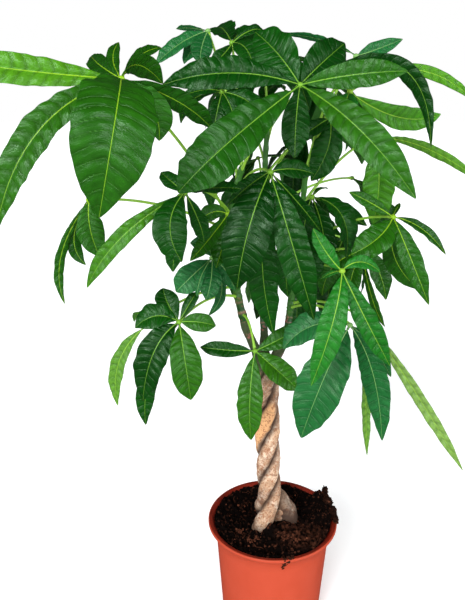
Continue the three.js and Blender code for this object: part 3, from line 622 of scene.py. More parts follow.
def gnarled_root(height, turn):
    """Extra radius of the root at the right: folds that run down it, and a hollow that is deepest 20 mm
    above the soil on its outer side, both times how much of the root's spread is left."""
    round_place = np.stack(np.broadcast_arrays(12 * np.cos(turn), 12 * np.sin(turn), 0.5 * height), -1)
    folds = 1.8 * noise(round_place, 5.0, 85) + 0.9 * noise(round_place, 2.3, 86)
    hollow = 5.0 * np.exp(-((height - TRUNK_FOOT[2] - 20) / 10) ** 2) * ease(-0.2, 0.8, np.cos(turn))
    return flare(height, 0) * (folds - hollow)


def lobe_skin(middle, size):
    """A lobe and its marks: a ball with its radius times 1 + coarse folds + fine folds, with painted shade
    between the folds and paler bark on their tops.
    """
    lobe = ball(48, 26) * size
    folds = 0.22 * noise(lobe * (1, 1, 0.4) + middle, 5.0, 83) + 0.06 * noise(lobe, 1.6, 84)
    # Painted shade in the hollows between the folds, and paler bark on their tops
    shades = np.stack([0.25 - folds, 4 * folds, 0 * folds], -1)
    return closed_skin(lobe * (1 + folds)[..., None] + middle), grid_marks(shades)


# %% Marks on the bark
DARKER_LOW_HEIGHTS = (148, 167)  # heights between which the darkening near the soil fades
GREENING = (344, 380)  # heights between which a trunk becomes a green stem
PEELED, PEELED_HALF = 286, 32  # height and half length of the peeled patch on the last strand


def bark_shades(rings, turn, scars, strand):
    """Three shares: darkness (painted shade on the side that faces the neighbours and on the root at the
    right, ring scars, and bark that is darker near the soil), greenness (above the twist) and bareness (a
    patch with a noisy edge, on the outer side)."""
    height = rings[..., 2]
    twisted = 1 - ease(TRUNK_CROWN[2] - 8, TRUNK_CROWN[2] + 10, height)
    # Painted shade on the side of each strand that faces its neighbours, where the strands shade each other
    crevice_shade = ease(-0.75, 0.15, -np.cos(turn)) * 0.9 * twisted * (1 - 0.7 * flare(height, strand))
    # Darker bark near the soil, and painted shade over the whole root at the right
    darker_low = 0.3 * flare(height, strand) * (strand == 0) + 0.8 * (1 - ease(*DARKER_LOW_HEIGHTS, height))
    patch = noise(rings * (1, 1, 0.5), 6.0, 81)
    bare = ease(0.1, 0.3, np.cos(turn) + 0.3 * patch) * ease(-14, 0, PEELED_HALF - np.abs(height - PEELED))
    bare = bare * ease(0, 4, 2 - rings[..., 0] + 2 * patch) * (strand == 2)
    return np.maximum(crevice_shade, 0.35 * scars * twisted) + darker_low, ease(*GREENING, height) * 0.92, bare


# %% Three strands
AROUND_STRAND = 40
PROUD = 0.1  # how far the bark lies outside the frame's strand
SMOOTH_END = 12  # length at the top over which most of the relief fades
turn = 2 * np.pi * np.arange(AROUND_STRAND) / AROUND_STRAND
for strand in range(3):
    centres, outward, radii = strand_path(strand)
    steps = np.linalg.norm(np.diff(centres, axis=0, prepend=centres[:1]), axis=-1)
    length = np.cumsum(steps)[:, None]
    relief, scars = bark_relief(*np.broadcast_arrays(length, turn), radii[:, None], strand)
    if strand == 0:
        relief = relief + gnarled_root(centres[:, 2:], turn)
    fade = 1 - ease(-SMOOTH_END, 0, length - length[-1])
    section = pressed_section(turn, radii[:, None], centres[:, 2:], strand)
    rings = tube_rings(centres, section + PROUD + relief * (0.3 + 0.7 * fade), AROUND_STRAND, outward)
    dark, woody, bare = bark_shades(rings, turn, scars, strand)
    batch = Batch()
    batch.add(closed_skin(rings), bark=grid_marks(np.stack([dark, relief, woody], -1)), bare=grid_marks(bare))
    for middle, size in ROOT_LOBES.get(strand, ()):
        skin, shades = lobe_skin(middle, size)
        batch.add(skin, bark=shades, bare=0.0)
    make_piece(f"twisted_trunk_{strand + 1}", batch, bark, replaced=(f"trunk_{strand + 1}",))
    low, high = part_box(f"trunk_{strand + 1}")
    print("  frame box", [round(v / MM, 1) for v in (*low, *high)])
    print("  this box ", [round(float(v), 1) for v in (*rings.min((0, 1)), *rings.max((0, 1)))])

# %% [markdown]
# ## The potting mix
#
# Peat is a heap of crumbs and fibres, so it has two kinds of detail: a bed whose height varies like
# crumbs pressed together, and loose crumbs and fibres lying on it. The bed is one grid of rings, from the
# middle of its underside, out, up the side and back over the top.

# %% Bed of peat
SOIL_LEVEL = 143.0
SOIL_BOTTOM = FLOOR + GAP
SOIL_SIDE = 0.6  # gap to the pot's inner wall
BANK = 4.6  # how far the peat climbs the wall
# Height, place and size of each heap, and of two hollows
HEAPS = ((19, 63, 29, 8), (13, 70, 8, 12), (8, 16, -36, 17), (-4, -32, 12, 14), (-4, -10, -60, 10))
# The same for the peat that is pushed up against the roots
BANKED_FOOT = ((6, 11, -15, 7), (4, -22, -34, 7), (4, -28, -12, 8), (11, -6, -26, 5.5))


def bed_height(x, y):
    """The level, plus a low ripple, plus a bell-shaped heap at each place, plus the bank at the wall."""
    height = SOIL_LEVEL + 1.1 * np.sin(x / 6.3) * np.cos(y / 7.1) + 0.9 * np.sin((x + y) / 4.7)
    for tall, at_x, at_y, size in HEAPS + BANKED_FOOT:
        height = height + tall * np.exp(-((x - at_x) ** 2 + (y - at_y) ** 2) / (2 * size ** 2))
    return height + BANK * ease(58, 76, np.hypot(x, y))


def crumbly(x, y):
    """The bed with crumbs: three sizes of noise, the lumps pushed up and the gaps between them cut in."""
    flat = np.stack([x, y, 0 * x], -1)
    lumps = 1 - 2 * np.abs(noise(flat, 5.5, 61))
    crumbs = 1 - 2 * np.abs(noise(flat, 2.6, 62))
    return bed_height(x, y) + 2.2 * lumps + 1.1 * crumbs + 0.35 * noise(flat, 1.1, 63)


# %% [markdown]
# ### Moist peat
#
# Wet peat is nearly black and has no shine. Its clods are about 4 mm across, and now and then a fleck of
# 2 mm is a pale bit of dry stalk. The mark called tone makes a crumb browner, as peat is where it dries.

# %% Peat material
peat, shader = new_material("moist peat")
place = add(peat, "ShaderNodeTexCoord", out="Object")
tone = add(peat, "ShaderNodeAttribute", out="Fac", attribute_name="tone")
clods = add(peat, "ShaderNodeTexNoise", {"Vector": place, "Scale": 260.0, "Detail": 6.0, "Roughness": 0.75},
            out="Fac")
flecks = add(peat, "ShaderNodeTexVoronoi", {"Vector": place, "Scale": 420.0}, out="Color")
fleck = add(peat, "ShaderNodeMapRange", {"Value": add(peat, "ShaderNodeSeparateXYZ", {0: flecks}),
            "From Min": 0.94, "From Max": 1.0, "To Max": 0.5})
light = add(peat, "ShaderNodeMath", {0: tone, 1: fleck}, operation="ADD", use_clamp=True)
colour = linear("#010000")
for share, layer in ((clods, "#0e0604"), (light, "#6c3e2c")):
    colour = add(peat, "ShaderNodeMix", {SHARE: share, FIRST: colour, SECOND: linear(layer)}, **COLOURS)
relief = add(peat, "ShaderNodeBump", {"Strength": 0.8, "Distance": 0.8 * MM, "Height": clods})
plug(peat, shader, {"Base Color": colour, "Roughness": 0.92, "Specular IOR Level": 0.05, "Normal": relief})

# %% Bed
AROUND_BED, TOP_RINGS = 300, 110
AXIS_HOLE = 0.4  # radius of the first and last ring, which the skin closes
BROWN_MOUND = (36, -34)  # where the peat is browner
below_bank = wall_radius(SOIL_LEVEL) - WALL - SOIL_SIDE
edge = below_bank + 0.82 * BANK  # the bank follows the wall out under the rim
top_radii = np.linspace(edge, AXIS_HOLE, TOP_RINGS)
turn = 2 * np.pi * np.arange(AROUND_BED) / AROUND_BED
top_x, top_y = top_radii[:, None] * np.cos(turn), top_radii[:, None] * np.sin(turn)
top_rings = np.stack([top_x, top_y, crumbly(top_x, top_y)], -1)
foot_radius = wall_radius(SOIL_BOTTOM) - WALL - SOIL_SIDE
side_line = np.array([(AXIS_HOLE, SOIL_BOTTOM), (foot_radius, SOIL_BOTTOM),
                      (below_bank - 0.4, SOIL_LEVEL - 8), (below_bank, SOIL_LEVEL - 1.5)])
rings = np.concatenate([turned(side_line, AROUND_BED), top_rings])
from_mound = np.hypot(rings[..., 0] - BROWN_MOUND[0], (rings[..., 1] - BROWN_MOUND[1]) * 1.2)
browner = (1 - ease(16, 40, from_mound)) * ease(-0.5, 0.9, noise(rings, 3.0, 64))
bed = Batch()
bed.add(closed_skin(rings), tone=grid_marks(0.55 * browner))

# %% [markdown]
# ### Crumbs and fibres
#
# A crumb is a ball of a few faces. There are hundreds, so the same ball serves for all of them: it is made
# uneven, squeezed, turned and moved to each place, and joins the mesh of the bed. A fibre is a thin
# four-sided tube along a small arc.

# %% Loose crumbs
dice = np.random.default_rng(20417)


def scatter_crumbs(batch, places, sizes, tones):
    """A crumb at each place: a ball with an uneven radius, squeezed and turned its own way."""
    model = ball(7, 4)
    for place, size, tone in zip(places, sizes, tones):
        turn, _ = np.linalg.qr(dice.normal(size=(3, 3)))
        turn = turn * np.sign(np.linalg.det(turn))
        squeeze = dice.uniform(0.55, 1.0, 3)
        bumps = dice.uniform(0.75, 1.15, model.shape[:2])[..., None]
        rings = (model * bumps * squeeze * size) @ turn.T + place
        batch.add(closed_skin(rings), tone=tone)


CRUMBS = 620
away = edge * np.sqrt(dice.uniform(0.02, 0.97, CRUMBS))
turn = dice.uniform(0, 2 * np.pi, CRUMBS)
sizes = dice.uniform(0.6, 1.9, CRUMBS) ** 1.3
x, y = away * np.cos(turn), away * np.sin(turn)
places = np.stack([x, y, crumbly(x, y) + 0.3 * sizes], -1)
tones = np.where(dice.uniform(size=CRUMBS) < 0.03, dice.uniform(0.4, 1.0, CRUMBS), 0.1)
scatter_crumbs(bed, places, sizes, tones)

# %% [markdown]
# A clump of peat leans on the rim at the right. In front, paler clods lie on the bed, each a cluster of
# crumbs, and a streak of crumbs has spilled over the rim and down the wall.

# %% Clump on the rim
LUMP_CRUMBS = 60
# Place and size of each lump
LUMPS = (((73, 29, 163), (4.5, 7, 14)), ((75, 20, 158), (7, 9, 9)), ((80, 6, 153), (6, 9, 7)),
         ((83, -6, 150), (4, 7, 5)), ((64, 22, 151), (8, 10, 6)))
for middle, size in LUMPS:
    lump = ball(48, 26) * size
    lump = lump * (1 + 0.3 * noise(lump + middle, 4.0, 71) + 0.14 * noise(lump, 1.8, 72))[..., None]
    bed.add(closed_skin(lump + middle), tone=0.05)
    spot = unit(dice.normal(size=(LUMP_CRUMBS, 3))) * size * dice.uniform(0.9, 1.08, (LUMP_CRUMBS, 1))
    scatter_crumbs(bed, spot + middle, dice.uniform(0.5, 2.0, LUMP_CRUMBS), dice.uniform(0, 0.3, LUMP_CRUMBS))

# %% Paler clods
CLOD_CRUMBS = 30
# Place and size of each clod
CLODS = (((-42, -26, 146.5), (4.5, 3.5, 1.4)), ((-31, -42, 146.5), (4.5, 3.5, 1.4)),
         ((-22, -39, 147.5), (3, 3, 1.2)), ((27, -47, 150), (6, 4, 1.4)), ((12, -42, 150.5), (5, 4, 1.2)))
for middle, size in CLODS:
    spot = dice.normal(0, 0.6, (CLOD_CRUMBS, 3)) * size + middle
    scatter_crumbs(bed, spot, dice.uniform(0.7, 1.9, CLOD_CRUMBS), dice.uniform(0.1, 0.75, CLOD_CRUMBS))

# %% Spilled crumbs
SPILLED = 70
ON_RIM = 0.25  # the first share of the way is over the rim's flat top, and the rest is down the wall
SPILL_TURN, SPILL_FALL = -79, 28  # where the streak starts, in degrees, and its fall over the whole way
fallen = dice.uniform(0, 1, SPILLED) ** 1.5  # 0 on the rim, 1 at the foot of the streak
rim_turn = np.radians(SPILL_TURN - 4 * fallen + dice.normal(0, 2.2, SPILLED) * (1.2 - fallen))
outer_wall = POT_OUTLINE[:POT_OUTLINE[:, 1].argmax() + 1]
spill_height = POT_HEIGHT - SPILL_FALL * np.maximum(fallen - ON_RIM, 0)
spill_away = np.where(fallen < ON_RIM, dice.uniform(RIM_INNER - 2, RIM_RADIUS - 1, SPILLED),
                      np.interp(spill_height, outer_wall[:, 1], outer_wall[:, 0]) + 0.3)
spilled = np.stack([spill_away * np.cos(rim_turn), spill_away * np.sin(rim_turn), spill_height + 0.3], -1)
scatter_crumbs(bed, spilled, dice.uniform(0.7, 2.0, SPILLED), np.full(SPILLED, 0.2))

# %% Fibres
FIBRES, FIBRE_POINTS = 55, 7
for _ in range(FIBRES):
    middle_away, turn, way = edge * math.sqrt(dice.uniform(0.05, 0.95)), *dice.uniform(0, 2 * np.pi, 2)
    middle = np.array([middle_away * math.cos(turn), middle_away * math.sin(turn), 0])
    half = dice.uniform(3, 9) * np.array([math.cos(way), math.sin(way), 0])
    sag = dice.uniform(-2.5, 2.5) * np.array([-math.sin(way), math.cos(way), 0])
    line = Bow(middle - half, middle + sag, middle + half).point(np.linspace(0, 1, FIBRE_POINTS))
    if np.linalg.norm(line[:, :2], axis=1).max() >= edge - 1:
        continue
    line[:, 2] = crumbly(line[:, 0], line[:, 1]) + 0.5 + dice.uniform(0, 0.8)
    thick = np.full(FIBRE_POINTS, dice.uniform(0.16, 0.34))
    bed.add(closed_skin(tube_rings(line, thick, 4, (0, 0, 1))), tone=dice.uniform(0.1, 0.8))
make_piece("peat_bed", bed, peat, replaced=("potting_mix",))

# %% [markdown]
# ## The leaves
#
# A money tree's leaf is a hand of leaflets that meet at the end of a long stalk. The table repeats the
# frame's own list. For each leaf it gives the hub, the shoot and how far up it the stalk starts, and the
# leaflets: the middle, the tip, the width, and how far the blade turns to the viewer (0 to 1).

# %% Leaves in view
LEAVES = {
    "near_left": {"hub": (121, 79, -190), "stem": ("left", 0.62), "tone": "mid", "blades": [
        ((116, 114, -262), (99, 218, -262), 66, 0.9),
        ((20, 70, -203), (-80, 55, -208), 28, 0.7),
        ((37, 133, -215), (-4, 233, -225), 31, 0.7),
        ((177, 101, -172), (213, 130, -150), 24, 0.5),
        ((101, 66, -165), (91, 56, -130), 19, 0.8),
        ((113, 59, -165), (119, 42, -140), 12, 0.7),
        ((138, 65, -167), (163, 84, -144), 25, 0.6),
        ((152, 108, -182), (159, 141, -178), 30, 0.7),
        ((141, 55, -130), (162, 48, -100), 12, 0.6),
    ]},
    "top_front": {"hub": (300, 85, -100), "stem": ("left", 0.97), "tone": "dark", "blades": [
        ((228, 143, -165), (178, 193, -185), 46, 0.8),
        ((360, 130, -150), (416, 199, -165), 34, 0.8),
        ((232, 73, -125), (162, 85, -120), 33, 0.7),
        ((352, 75, -114), (408, 71, -116), 28, 0.9),
        ((278, 54, -80), (255, 32, -50), 42, 0.8),
        ((322, 63, -82), (345, 43, -50), 40, 0.9),
        ((398, 66, -98), (431, 148, -106), 19, 0.9),
        ((296, 122, -75), (295, 158, -70), 30, 0.7),
    ]},
    "centre": {"hub": (270, 172, -120), "stem": ("left", 0.8), "tone": "dark", "blades": [
        ((249, 228, -155), (237, 289, -148), 48, 0.9),
        ((291, 240, -150), (314, 320, -140), 34, 0.9),
        ((262, 258, -112), (274, 335, -100), 34, 0.8),
        ((300, 205, -118), (321, 232, -112), 15, 0.6),
        ((292, 169, -110), (314, 174, -100), 22, 0.6),
        ((250, 185, -100), (228, 205, -92), 22, 0.5),
    ]},
    "right_bright": {"hub": (342, 271, -132), "stem": ("right", 0.42), "tone": "bright", "blades": [
        ((333, 322, -158), (311, 386, -152), 28, 0.9),
        ((365, 318, -150), (390, 366, -144), 24, 0.8),
        ((326, 252, -135), (313, 228, -122), 19, 0.8),
        ((361, 262, -128), (381, 273, -120), 16, 0.7),
        ((332, 273, -122), (321, 279, -112), 8, 0.6),
    ]},
    "right_star": {"hub": (393, 217, -72), "stem": ("right", 0.62), "tone": "mid", "blades": [
        ((409, 254, -92), (429, 305, -90), 24, 0.8),
        ((378, 238, -95), (350, 255, -98), 34, 0.8),
        ((395, 258, -62), (420, 290, -58), 28, 0.8),
        ((371, 203, -72), (349, 192, -62), 15, 0.7),
        ((422, 229, -74), (446, 255, -74), 14, 0.6),
        ((396, 210, -60), (400, 203, -48), 7, 0.6),
    ]},
    "left_fan": {"hub": (185, 192, -112), "stem": ("left", 0.66), "tone": "dark", "blades": [
        ((122, 237, -136), (87, 288, -140), 19, 0.8),
        ((170, 225, -140), (182, 262, -142), 36, 0.8),
        ((176, 240, -100), (173, 272, -96), 22, 0.7),
        ((199, 222, -98), (204, 242, -92), 20, 0.7),
        ((172, 182, -104), (161, 172, -92), 18, 0.7),
        ((214, 188, -98), (241, 189, -88), 22, 0.4),
    ]},
    "left_hanging": {"hub": (89, 200, -92), "stem": ("left", 0.55), "tone": "mid", "blades": [
        ((90, 228, -100), (100, 257, -100), 30, 0.8),
        ((74, 238, -86), (86, 265, -84), 17, 0.7),
        ((61, 256, -92), (65, 304, -94), 12, 0.7),
    ]},
    "low_left": {"hub": (179, 322, -74), "stem": ("left", 0.14), "tone": "dark", "blades": [
        ((185, 361, -98), (191, 400, -96), 38, 0.8),
        ((154, 352, -92), (143, 401, -90), 38, 0.8),
        ((198, 322, -78), (216, 326, -74), 23, 0.8),
        ((156, 316, -74), (135, 328, -74), 32, 0.7),
        ((168, 304, -64), (163, 288, -52), 28, 0.8),
        ((190, 303, -62), (197, 292, -50), 16, 0.7),
        ((150, 376, -66), (146, 425, -64), 26, 0.7),
    ]},
    "low_left_light": {"hub": (146, 326, -34), "stem": ("left", 0.2), "tone": "bright", "blades": [
        ((119, 362, -42), (118, 406, -44), 21, 0.7),
        ((140, 312, -20), (134, 322, -2), 14, 0.4),
    ]},
    "low_front": {"hub": (255, 351, -56), "stem": ("left", 0.03), "tone": "dark", "blades": [
        ((250, 397, -78), (251, 440, -76), 32, 0.9),
        ((277, 370, -68), (299, 390, -66), 32, 0.8),
        ((226, 350, -64), (200, 347, -60), 20, 0.8),
        ((280, 339, -50), (303, 326, -40), 25, 0.7),
    ]},
    "low_right": {"hub": (350, 325, -84), "stem": ("right", 0.2), "tone": "teal", "blades": [
        ((324, 378, -108), (301, 438, -106), 54, 0.9),
        ((373, 374, -88), (382, 441, -84), 32, 0.8),
        ((312, 326, -62), (283, 349, -50), 36, 0.7),
        ((372, 346, -66), (391, 377, -60), 22, 0.7),
    ]},
    "low_right_long": {"hub": (368, 322, -30), "stem": ("right", 0.24), "tone": "bright", "blades": [
        ((417, 395, -44), (463, 471, -50), 16, 0.9),
        ((366, 396, -26), (367, 456, -24), 13, 0.6),
    ]},
    "inner_left": {"hub": (212, 258, -50), "stem": ("left", 0.36), "tone": "teal", "blades": [
        ((192, 276, -62), (176, 292, -62), 32, 0.8),
        ((201, 277, -68), (197, 297, -68), 9, 0.7),
        ((211, 280, -64), (206, 300, -62), 26, 0.7),
        ((226, 271, -58), (235, 291, -56), 22, 0.7),
        ((206, 247, -36), (190, 243, -28), 26, 0.6),
        ((222, 290, -40), (208, 316, -36), 13, 0.7),
    ]},
    "inner_left_high": {"hub": (228, 214, -36), "stem": ("left", 0.5), "tone": "mid", "blades": [
        ((210, 238, -46), (190, 261, -46), 19, 0.7),
        ((240, 232, -42), (252, 262, -40), 24, 0.6),
        ((213, 212, -28), (199, 222, -20), 20, 0.5),
        ((224, 240, -30), (216, 268, -26), 28, 0.6),
    ]},
    "upper_left_inner": {"hub": (222, 92, -4), "stem": ("left", 0.9), "tone": "dark", "blades": [
        ((204, 90, -14), (180, 97, -18), 15, 0.6),
        ((217, 112, -18), (213, 134, -18), 20, 0.7),
        ((231, 108, -14), (236, 130, -12), 20, 0.6),
        ((192, 100, 6), (181, 124, 8), 16, 0.5),
        ((246, 100, -4), (264, 118, 0), 26, 0.6),
        ((230, 78, 26), (242, 68, 46), 26, 0.5),
    ]},
    "inner_right": {"hub": (330, 118, -12), "stem": ("right", 0.93), "tone": "dark", "blades": [
        ((328, 148, -24), (311, 181, -20), 36, 0.8),
        ((333, 146, -18), (334, 169, -14), 10, 0.6),
        ((352, 124, -6), (386, 134, 4), 26, 0.5),
        ((314, 128, 0), (298, 140, 10), 24, 0.5),
    ]},
    "inner_low_right": {"hub": (312, 197, -46), "stem": ("right", 0.72), "tone": "dark", "blades": [
        ((342, 216, -62), (346, 260, -64), 36, 0.8),
        ((338, 209, -40), (367, 226, -34), 24, 0.7),
        ((323, 232, -46), (324, 266, -44), 30, 0.7),
        ((305, 222, -40), (302, 256, -38), 30, 0.7),
        ((320, 189, -34), (328, 189, -28), 10, 0.5),
    ]},
    "inner_centre": {"hub": (286, 226, -26), "stem": ("right", 0.55), "tone": "dark", "blades": [
        ((285, 262, -38), (288, 297, -36), 28, 0.8),
        ((272, 240, -32), (270, 262, -30), 24, 0.7),
        ((306, 250, -32), (316, 282, -30), 30, 0.7),
        ((262, 246, -22), (246, 268, -18), 26, 0.6),
    ]},
    "right_inner_low": {"hub": (362, 252, 0), "stem": ("right", 0.5), "tone": "mid", "blades": [
        ((378, 270, -10), (386, 300, -10), 28, 0.7),
        ((372, 298, 0), (385, 327, 2), 12, 0.6),
        ((352, 276, -12), (347, 306, -12), 28, 0.7),
        ((334, 266, -6), (322, 296, -4), 28, 0.6),
    ]},
    "right_middle": {"hub": (375, 138, 14), "stem": ("right", 0.86), "tone": "bright", "blades": [
        ((379, 182, -2), (373, 224, -4), 38, 0.8),
        ((428, 149, 18), (488, 187, 14), 14, 0.8),
    ]},
    "right_upper": {"hub": (350, 92, -20), "stem": ("right", 1), "tone": "bright", "blades": [
        ((398, 117, -30), (441, 114, -28), 27, 0.9),
        ((346, 104, -40), (347, 120, -48), 27, 0.9),
        ((417, 70, 10), (480, 106, 8), 15, 0.9),
    ]},
    "top_right": {"hub": (356, 56, 26), "stem": ("right", 1), "tone": "teal", "blades": [
        ((375, 50, 34), (403, 39, 40), 19, 0.8),
        ((372, 56, 12), (390, 58, 2), 16, 0.5),
        ((322, 40, 34), (282, 34, 40), 13, 0.5),
    ]},
    "top_centre": {"hub": (232, 43, 10), "stem": ("left", 1), "tone": "dark", "blades": [
        ((247, 50, -16), (255, 77, -32), 28, 0.7),
        ((223, 29, 36), (216, 28, 72), 34, 0.7),
        ((252, 30, 20), (265, 33, 30), 13, 0.5),
        ((240, 33, 50), (254, 26, 76), 13, 0.5),
        ((246, 42, 34), (262, 48, 52), 26, 0.6),
        ((222, 56, -10), (209, 66, -20), 18, 0.5),
    ]},
    "top_left": {"hub": (208, 31, 44), "stem": ("left", 1), "tone": "teal", "blades": [
        ((202, 46, 20), (200, 64, 10), 26, 0.8),
        ((181, 43, 32), (155, 65, 24), 22, 0.5),
        ((190, 28, 54), (176, 29, 62), 10, 0.5),
        ((194, 47, 34), (184, 64, 26), 26, 0.6),
    ]},
}

# Hubs of the leaves behind, which hang by a rule
BACK_HUBS = (
    (262, 62, 84), (322, 78, 76), (286, 92, 168), (240, 112, 110), (342, 112, 122), (306, 136, 206),
    (258, 158, 172), (352, 178, 140), (306, 202, 152), (248, 222, 112), (344, 238, 92), (294, 258, 104),
)
for i, hub in enumerate(BACK_HUBS):
    LEAVES[f"back_{i + 1}"] = {"hub": hub, "stem": ("back", 1 - 0.055 * i), "tone": "back"}
print(len(LEAVES), "leaves")

# %% [markdown]
# ### How each blade was bent
#
# In the frame a blade that would have met another was bent clear of it, by one of a short list of small
# changes. Which one it took can be read back from the frame: the right change is the one whose tip and
# edge points are corners of the frame's solid. That keeps the fine blades exactly where the solids are.

# %% Blade form
UP = np.array([0.0, 0.0, 1.0])
NECK_AT, NECK_WIDTH = 0.05, 2.6
BASE_FULLNESS, TIP_FULLNESS = 0.85, 0.72
FOLD = math.radians(11)
RIB_THICKNESS = 1.6
# Places along a blade at which the frame's solid has its corners, and those of a small one
STATIONS, SMALL_STATIONS, SMALL_LENGTH = (0.24, 0.44, 0.64, 0.83), (0.32, 0.7), 62
PEAK = BASE_FULLNESS / (BASE_FULLNESS + TIP_FULLNESS)
PEAK_VALUE = PEAK ** BASE_FULLNESS * (1 - PEAK) ** TIP_FULLNESS


def half_width(t, width):
    """Half the width along a blade: (t - neck)^p (1 - t)^q, scaled to be width / 2 at its widest."""
    t = np.asarray(t, float)
    body = np.maximum(t - NECK_AT, 0) ** BASE_FULLNESS * np.maximum(1 - t, 0) ** TIP_FULLNESS
    return np.maximum(body / PEAK_VALUE * width / 2, np.where(t < NECK_AT + 0.001, NECK_WIDTH / 2, 0))


def turned_about(vector, axis, angle):
    """A vector turned about an axis, by Rodrigues' formula."""
    return (vector * math.cos(angle) + np.cross(axis, vector) * math.sin(angle)
            + axis * (axis @ vector) * (1 - math.cos(angle)))


class Blade:
    """A rib (a bow from the hub), a width, and the sideways direction of its surface."""

    def __init__(self, hub, middle, tip, width, facing, roll):
        self.curve = Bow(hub, middle, tip)
        self.width = width
        chord = tip - hub
        out = np.array([chord[0], chord[1], 0.0])
        out = np.array([0.0, -1.0, 0.0]) if np.linalg.norm(out) < 1 else unit(out)
        level = np.cross(out, UP)
        flat = unit(np.cross(chord, unit(EYE - self.curve.point(0.5))))
        flat = -flat if flat @ level < 0 else flat
        self.side = turned_about(unit(level * (1 - facing) + flat * facing), unit(chord), roll)

    def frame(self, t):
        """The rib's point, the direction across the blade and the direction out of its upper face."""
        heading = self.curve.heading(t)
        across = unit(self.side - heading * (heading @ self.side)[..., None])
        return self.curve.point(t), across, np.cross(across, heading)

    def turned_away(self):
        """Whether the side that its fold opens to faces away from the eye."""
        centre, _, upper = self.frame(0.5)
        return (EYE - centre) @ upper < 0


# %% Corners of a blade's solid
def solid_corners(blade):
    """The corners that the frame's plain blade has: its tip, and two edges and two ridges at each place."""
    places = np.array(SMALL_STATIONS if blade.curve.length < SMALL_LENGTH else STATIONS)
    centre, across, upper = blade.frame(places)
    reach = half_width(places, blade.width)[:, None]
    fold = reach * (across * math.cos(FOLD))
    rise = reach * (upper * math.sin(FOLD))
    return np.vstack([blade.curve.point(1.0)[None], centre + fold + rise, centre - fold + rise,
                      centre + upper * RIB_THICKNESS / 2, centre - upper * RIB_THICKNESS / 2])


def frame_points(node):
    """A frame node's corners, in millimetres."""
    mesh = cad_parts[node].data
    flat = np.empty(len(mesh.vertices) * 3, np.float32)
    mesh.vertices.foreach_get("co", flat)
    return flat.reshape(-1, 3) / MM


AGREES = 0.05  # millimetres within which a corner is the same
ENOUGH = 4  # corners that have to agree


def found_in(corners, points):
    """How many of the corners are among the points."""
    return int((np.linalg.norm(corners[:, None] - points[None], axis=-1).min(1) < AGREES).sum())


def best_blade(tries, points):
    """Of the blades that could be, the one whose corners agree best with the frame, or None."""
    tip_agrees = (one for one in tries if found_in(one.curve.point(1.0)[None], points))
    counted = [(found_in(solid_corners(one), points), one) for one in tip_agrees]
    most = max(counted, key=lambda pair: pair[0], default=(0, None))
    return most[1] if most[0] >= ENOUGH else None


# %% Small changes that a blade may have taken
SLIDES = (0, 8, -8, 16, -16, 24, -24, 36, -36, 48, -48, 64, -64, 80, -80)  # of the tip, in depth
MIDDLE_SHARES = (0.5, 0.25, 0.8)  # how far the middle slides with it
FACINGS = (0, -0.4, 0.3)  # added to how far it turns to the viewer
CUTS = (1, 0.75)  # what is left of its length
TURNS = (0, 15, -15, 30, -30)  # of a hidden blade about its hub, in degrees
DROOPS = (0, -15, 15, 30, -30)  # added to its droop, in degrees
LENGTHS = (1, 0.8, 0.62)  # what is left of its length
BACK_BLADES = 6  # blades of a leaf behind
BACK_LENGTH, BACK_DROOP = (104, 138), (14, 56)  # the least and the most
BACK_WIDTH, BACK_ARCH = 0.3, 0.17  # as shares of its length

seed = 20417


def draw(low, high):
    """The frame's whole-number generator: each seed is the last one multiplied, moved and wrapped."""
    global seed
    seed = (seed * 1664525 + 1013904223) % 4294967296
    return low + (high - low) * (seed / 4294967296)


def seen_blades(hub, row, roll):
    """The blades that a row of the table could have become."""
    middle, tip, width, facing = row
    for cut, slide, share, change in product(CUTS, SLIDES, MIDDLE_SHARES, FACINGS):
        b = seen((middle[0], middle[1], middle[2] + slide * share))
        c = seen((tip[0], tip[1], tip[2] + slide))
        yield Blade(hub, hub + (b - hub) * cut, hub + (c - hub) * cut, width,
                    min(max(facing + change, 0), 1), roll)


def hidden_blades(hub, way, length, droop, roll):
    """The blades that a leaf behind could have in one direction: out and down from the hub, arched."""
    for cut, turn, more in product(LENGTHS, TURNS, DROOPS):
        angle, fall, long = math.radians(way + turn), math.radians(droop + more), length * cut
        out = np.array([math.cos(angle), math.sin(angle), 0.0])
        tip = hub + out * long * math.cos(fall) - UP * long * math.sin(fall)
        middle = ((hub + tip) / 2 + out * BACK_ARCH * long * math.sin(fall)
                  + UP * BACK_ARCH * long * math.cos(fall))
        yield Blade(hub, middle, tip, long * BACK_WIDTH, 0, roll)


# %% Read the blades back
for name, leaf in LEAVES.items():
    leaf["centre"] = seen(leaf["hub"])
    points = frame_points(f"leaf_{name}")
    if "blades" in leaf:
        tries = [seen_blades(leaf["centre"], row, math.radians(draw(-9, 9))) for row in leaf["blades"]]
    else:
        tries = []
        start = draw(0, 360)
        for i in range(BACK_BLADES):
            way = start + 360 * i / BACK_BLADES + draw(-8, 8)
            length, droop = draw(*BACK_LENGTH), draw(*BACK_DROOP)
            tries.append(hidden_blades(leaf["centre"], way, length, droop, math.radians(draw(-12, 12))))
    found = [best_blade(one, points) for one in tries]
    leaf["found"] = [blade for blade in found if blade is not None]
    print(f"{name}: {len(leaf['found'])} of {len(found)} blades")

# %% [markdown]
# ### The fine blade
#
# One leaflet is one closed skin: a very flat ring carried along the rib. Across the blade the two halves
# rise from the rib and curl over a little. Side veins leave the rib almost square and bend to the tip, and
# the tissue puffs up between them like a quilt. The margins wave. The rib stands out below. The same
# vein phase that lifts the quilt is kept as a mark, so that the colour follows the relief exactly. A leaf
# turns its glossy face to the light, so the face that the picture shows is the upper one.

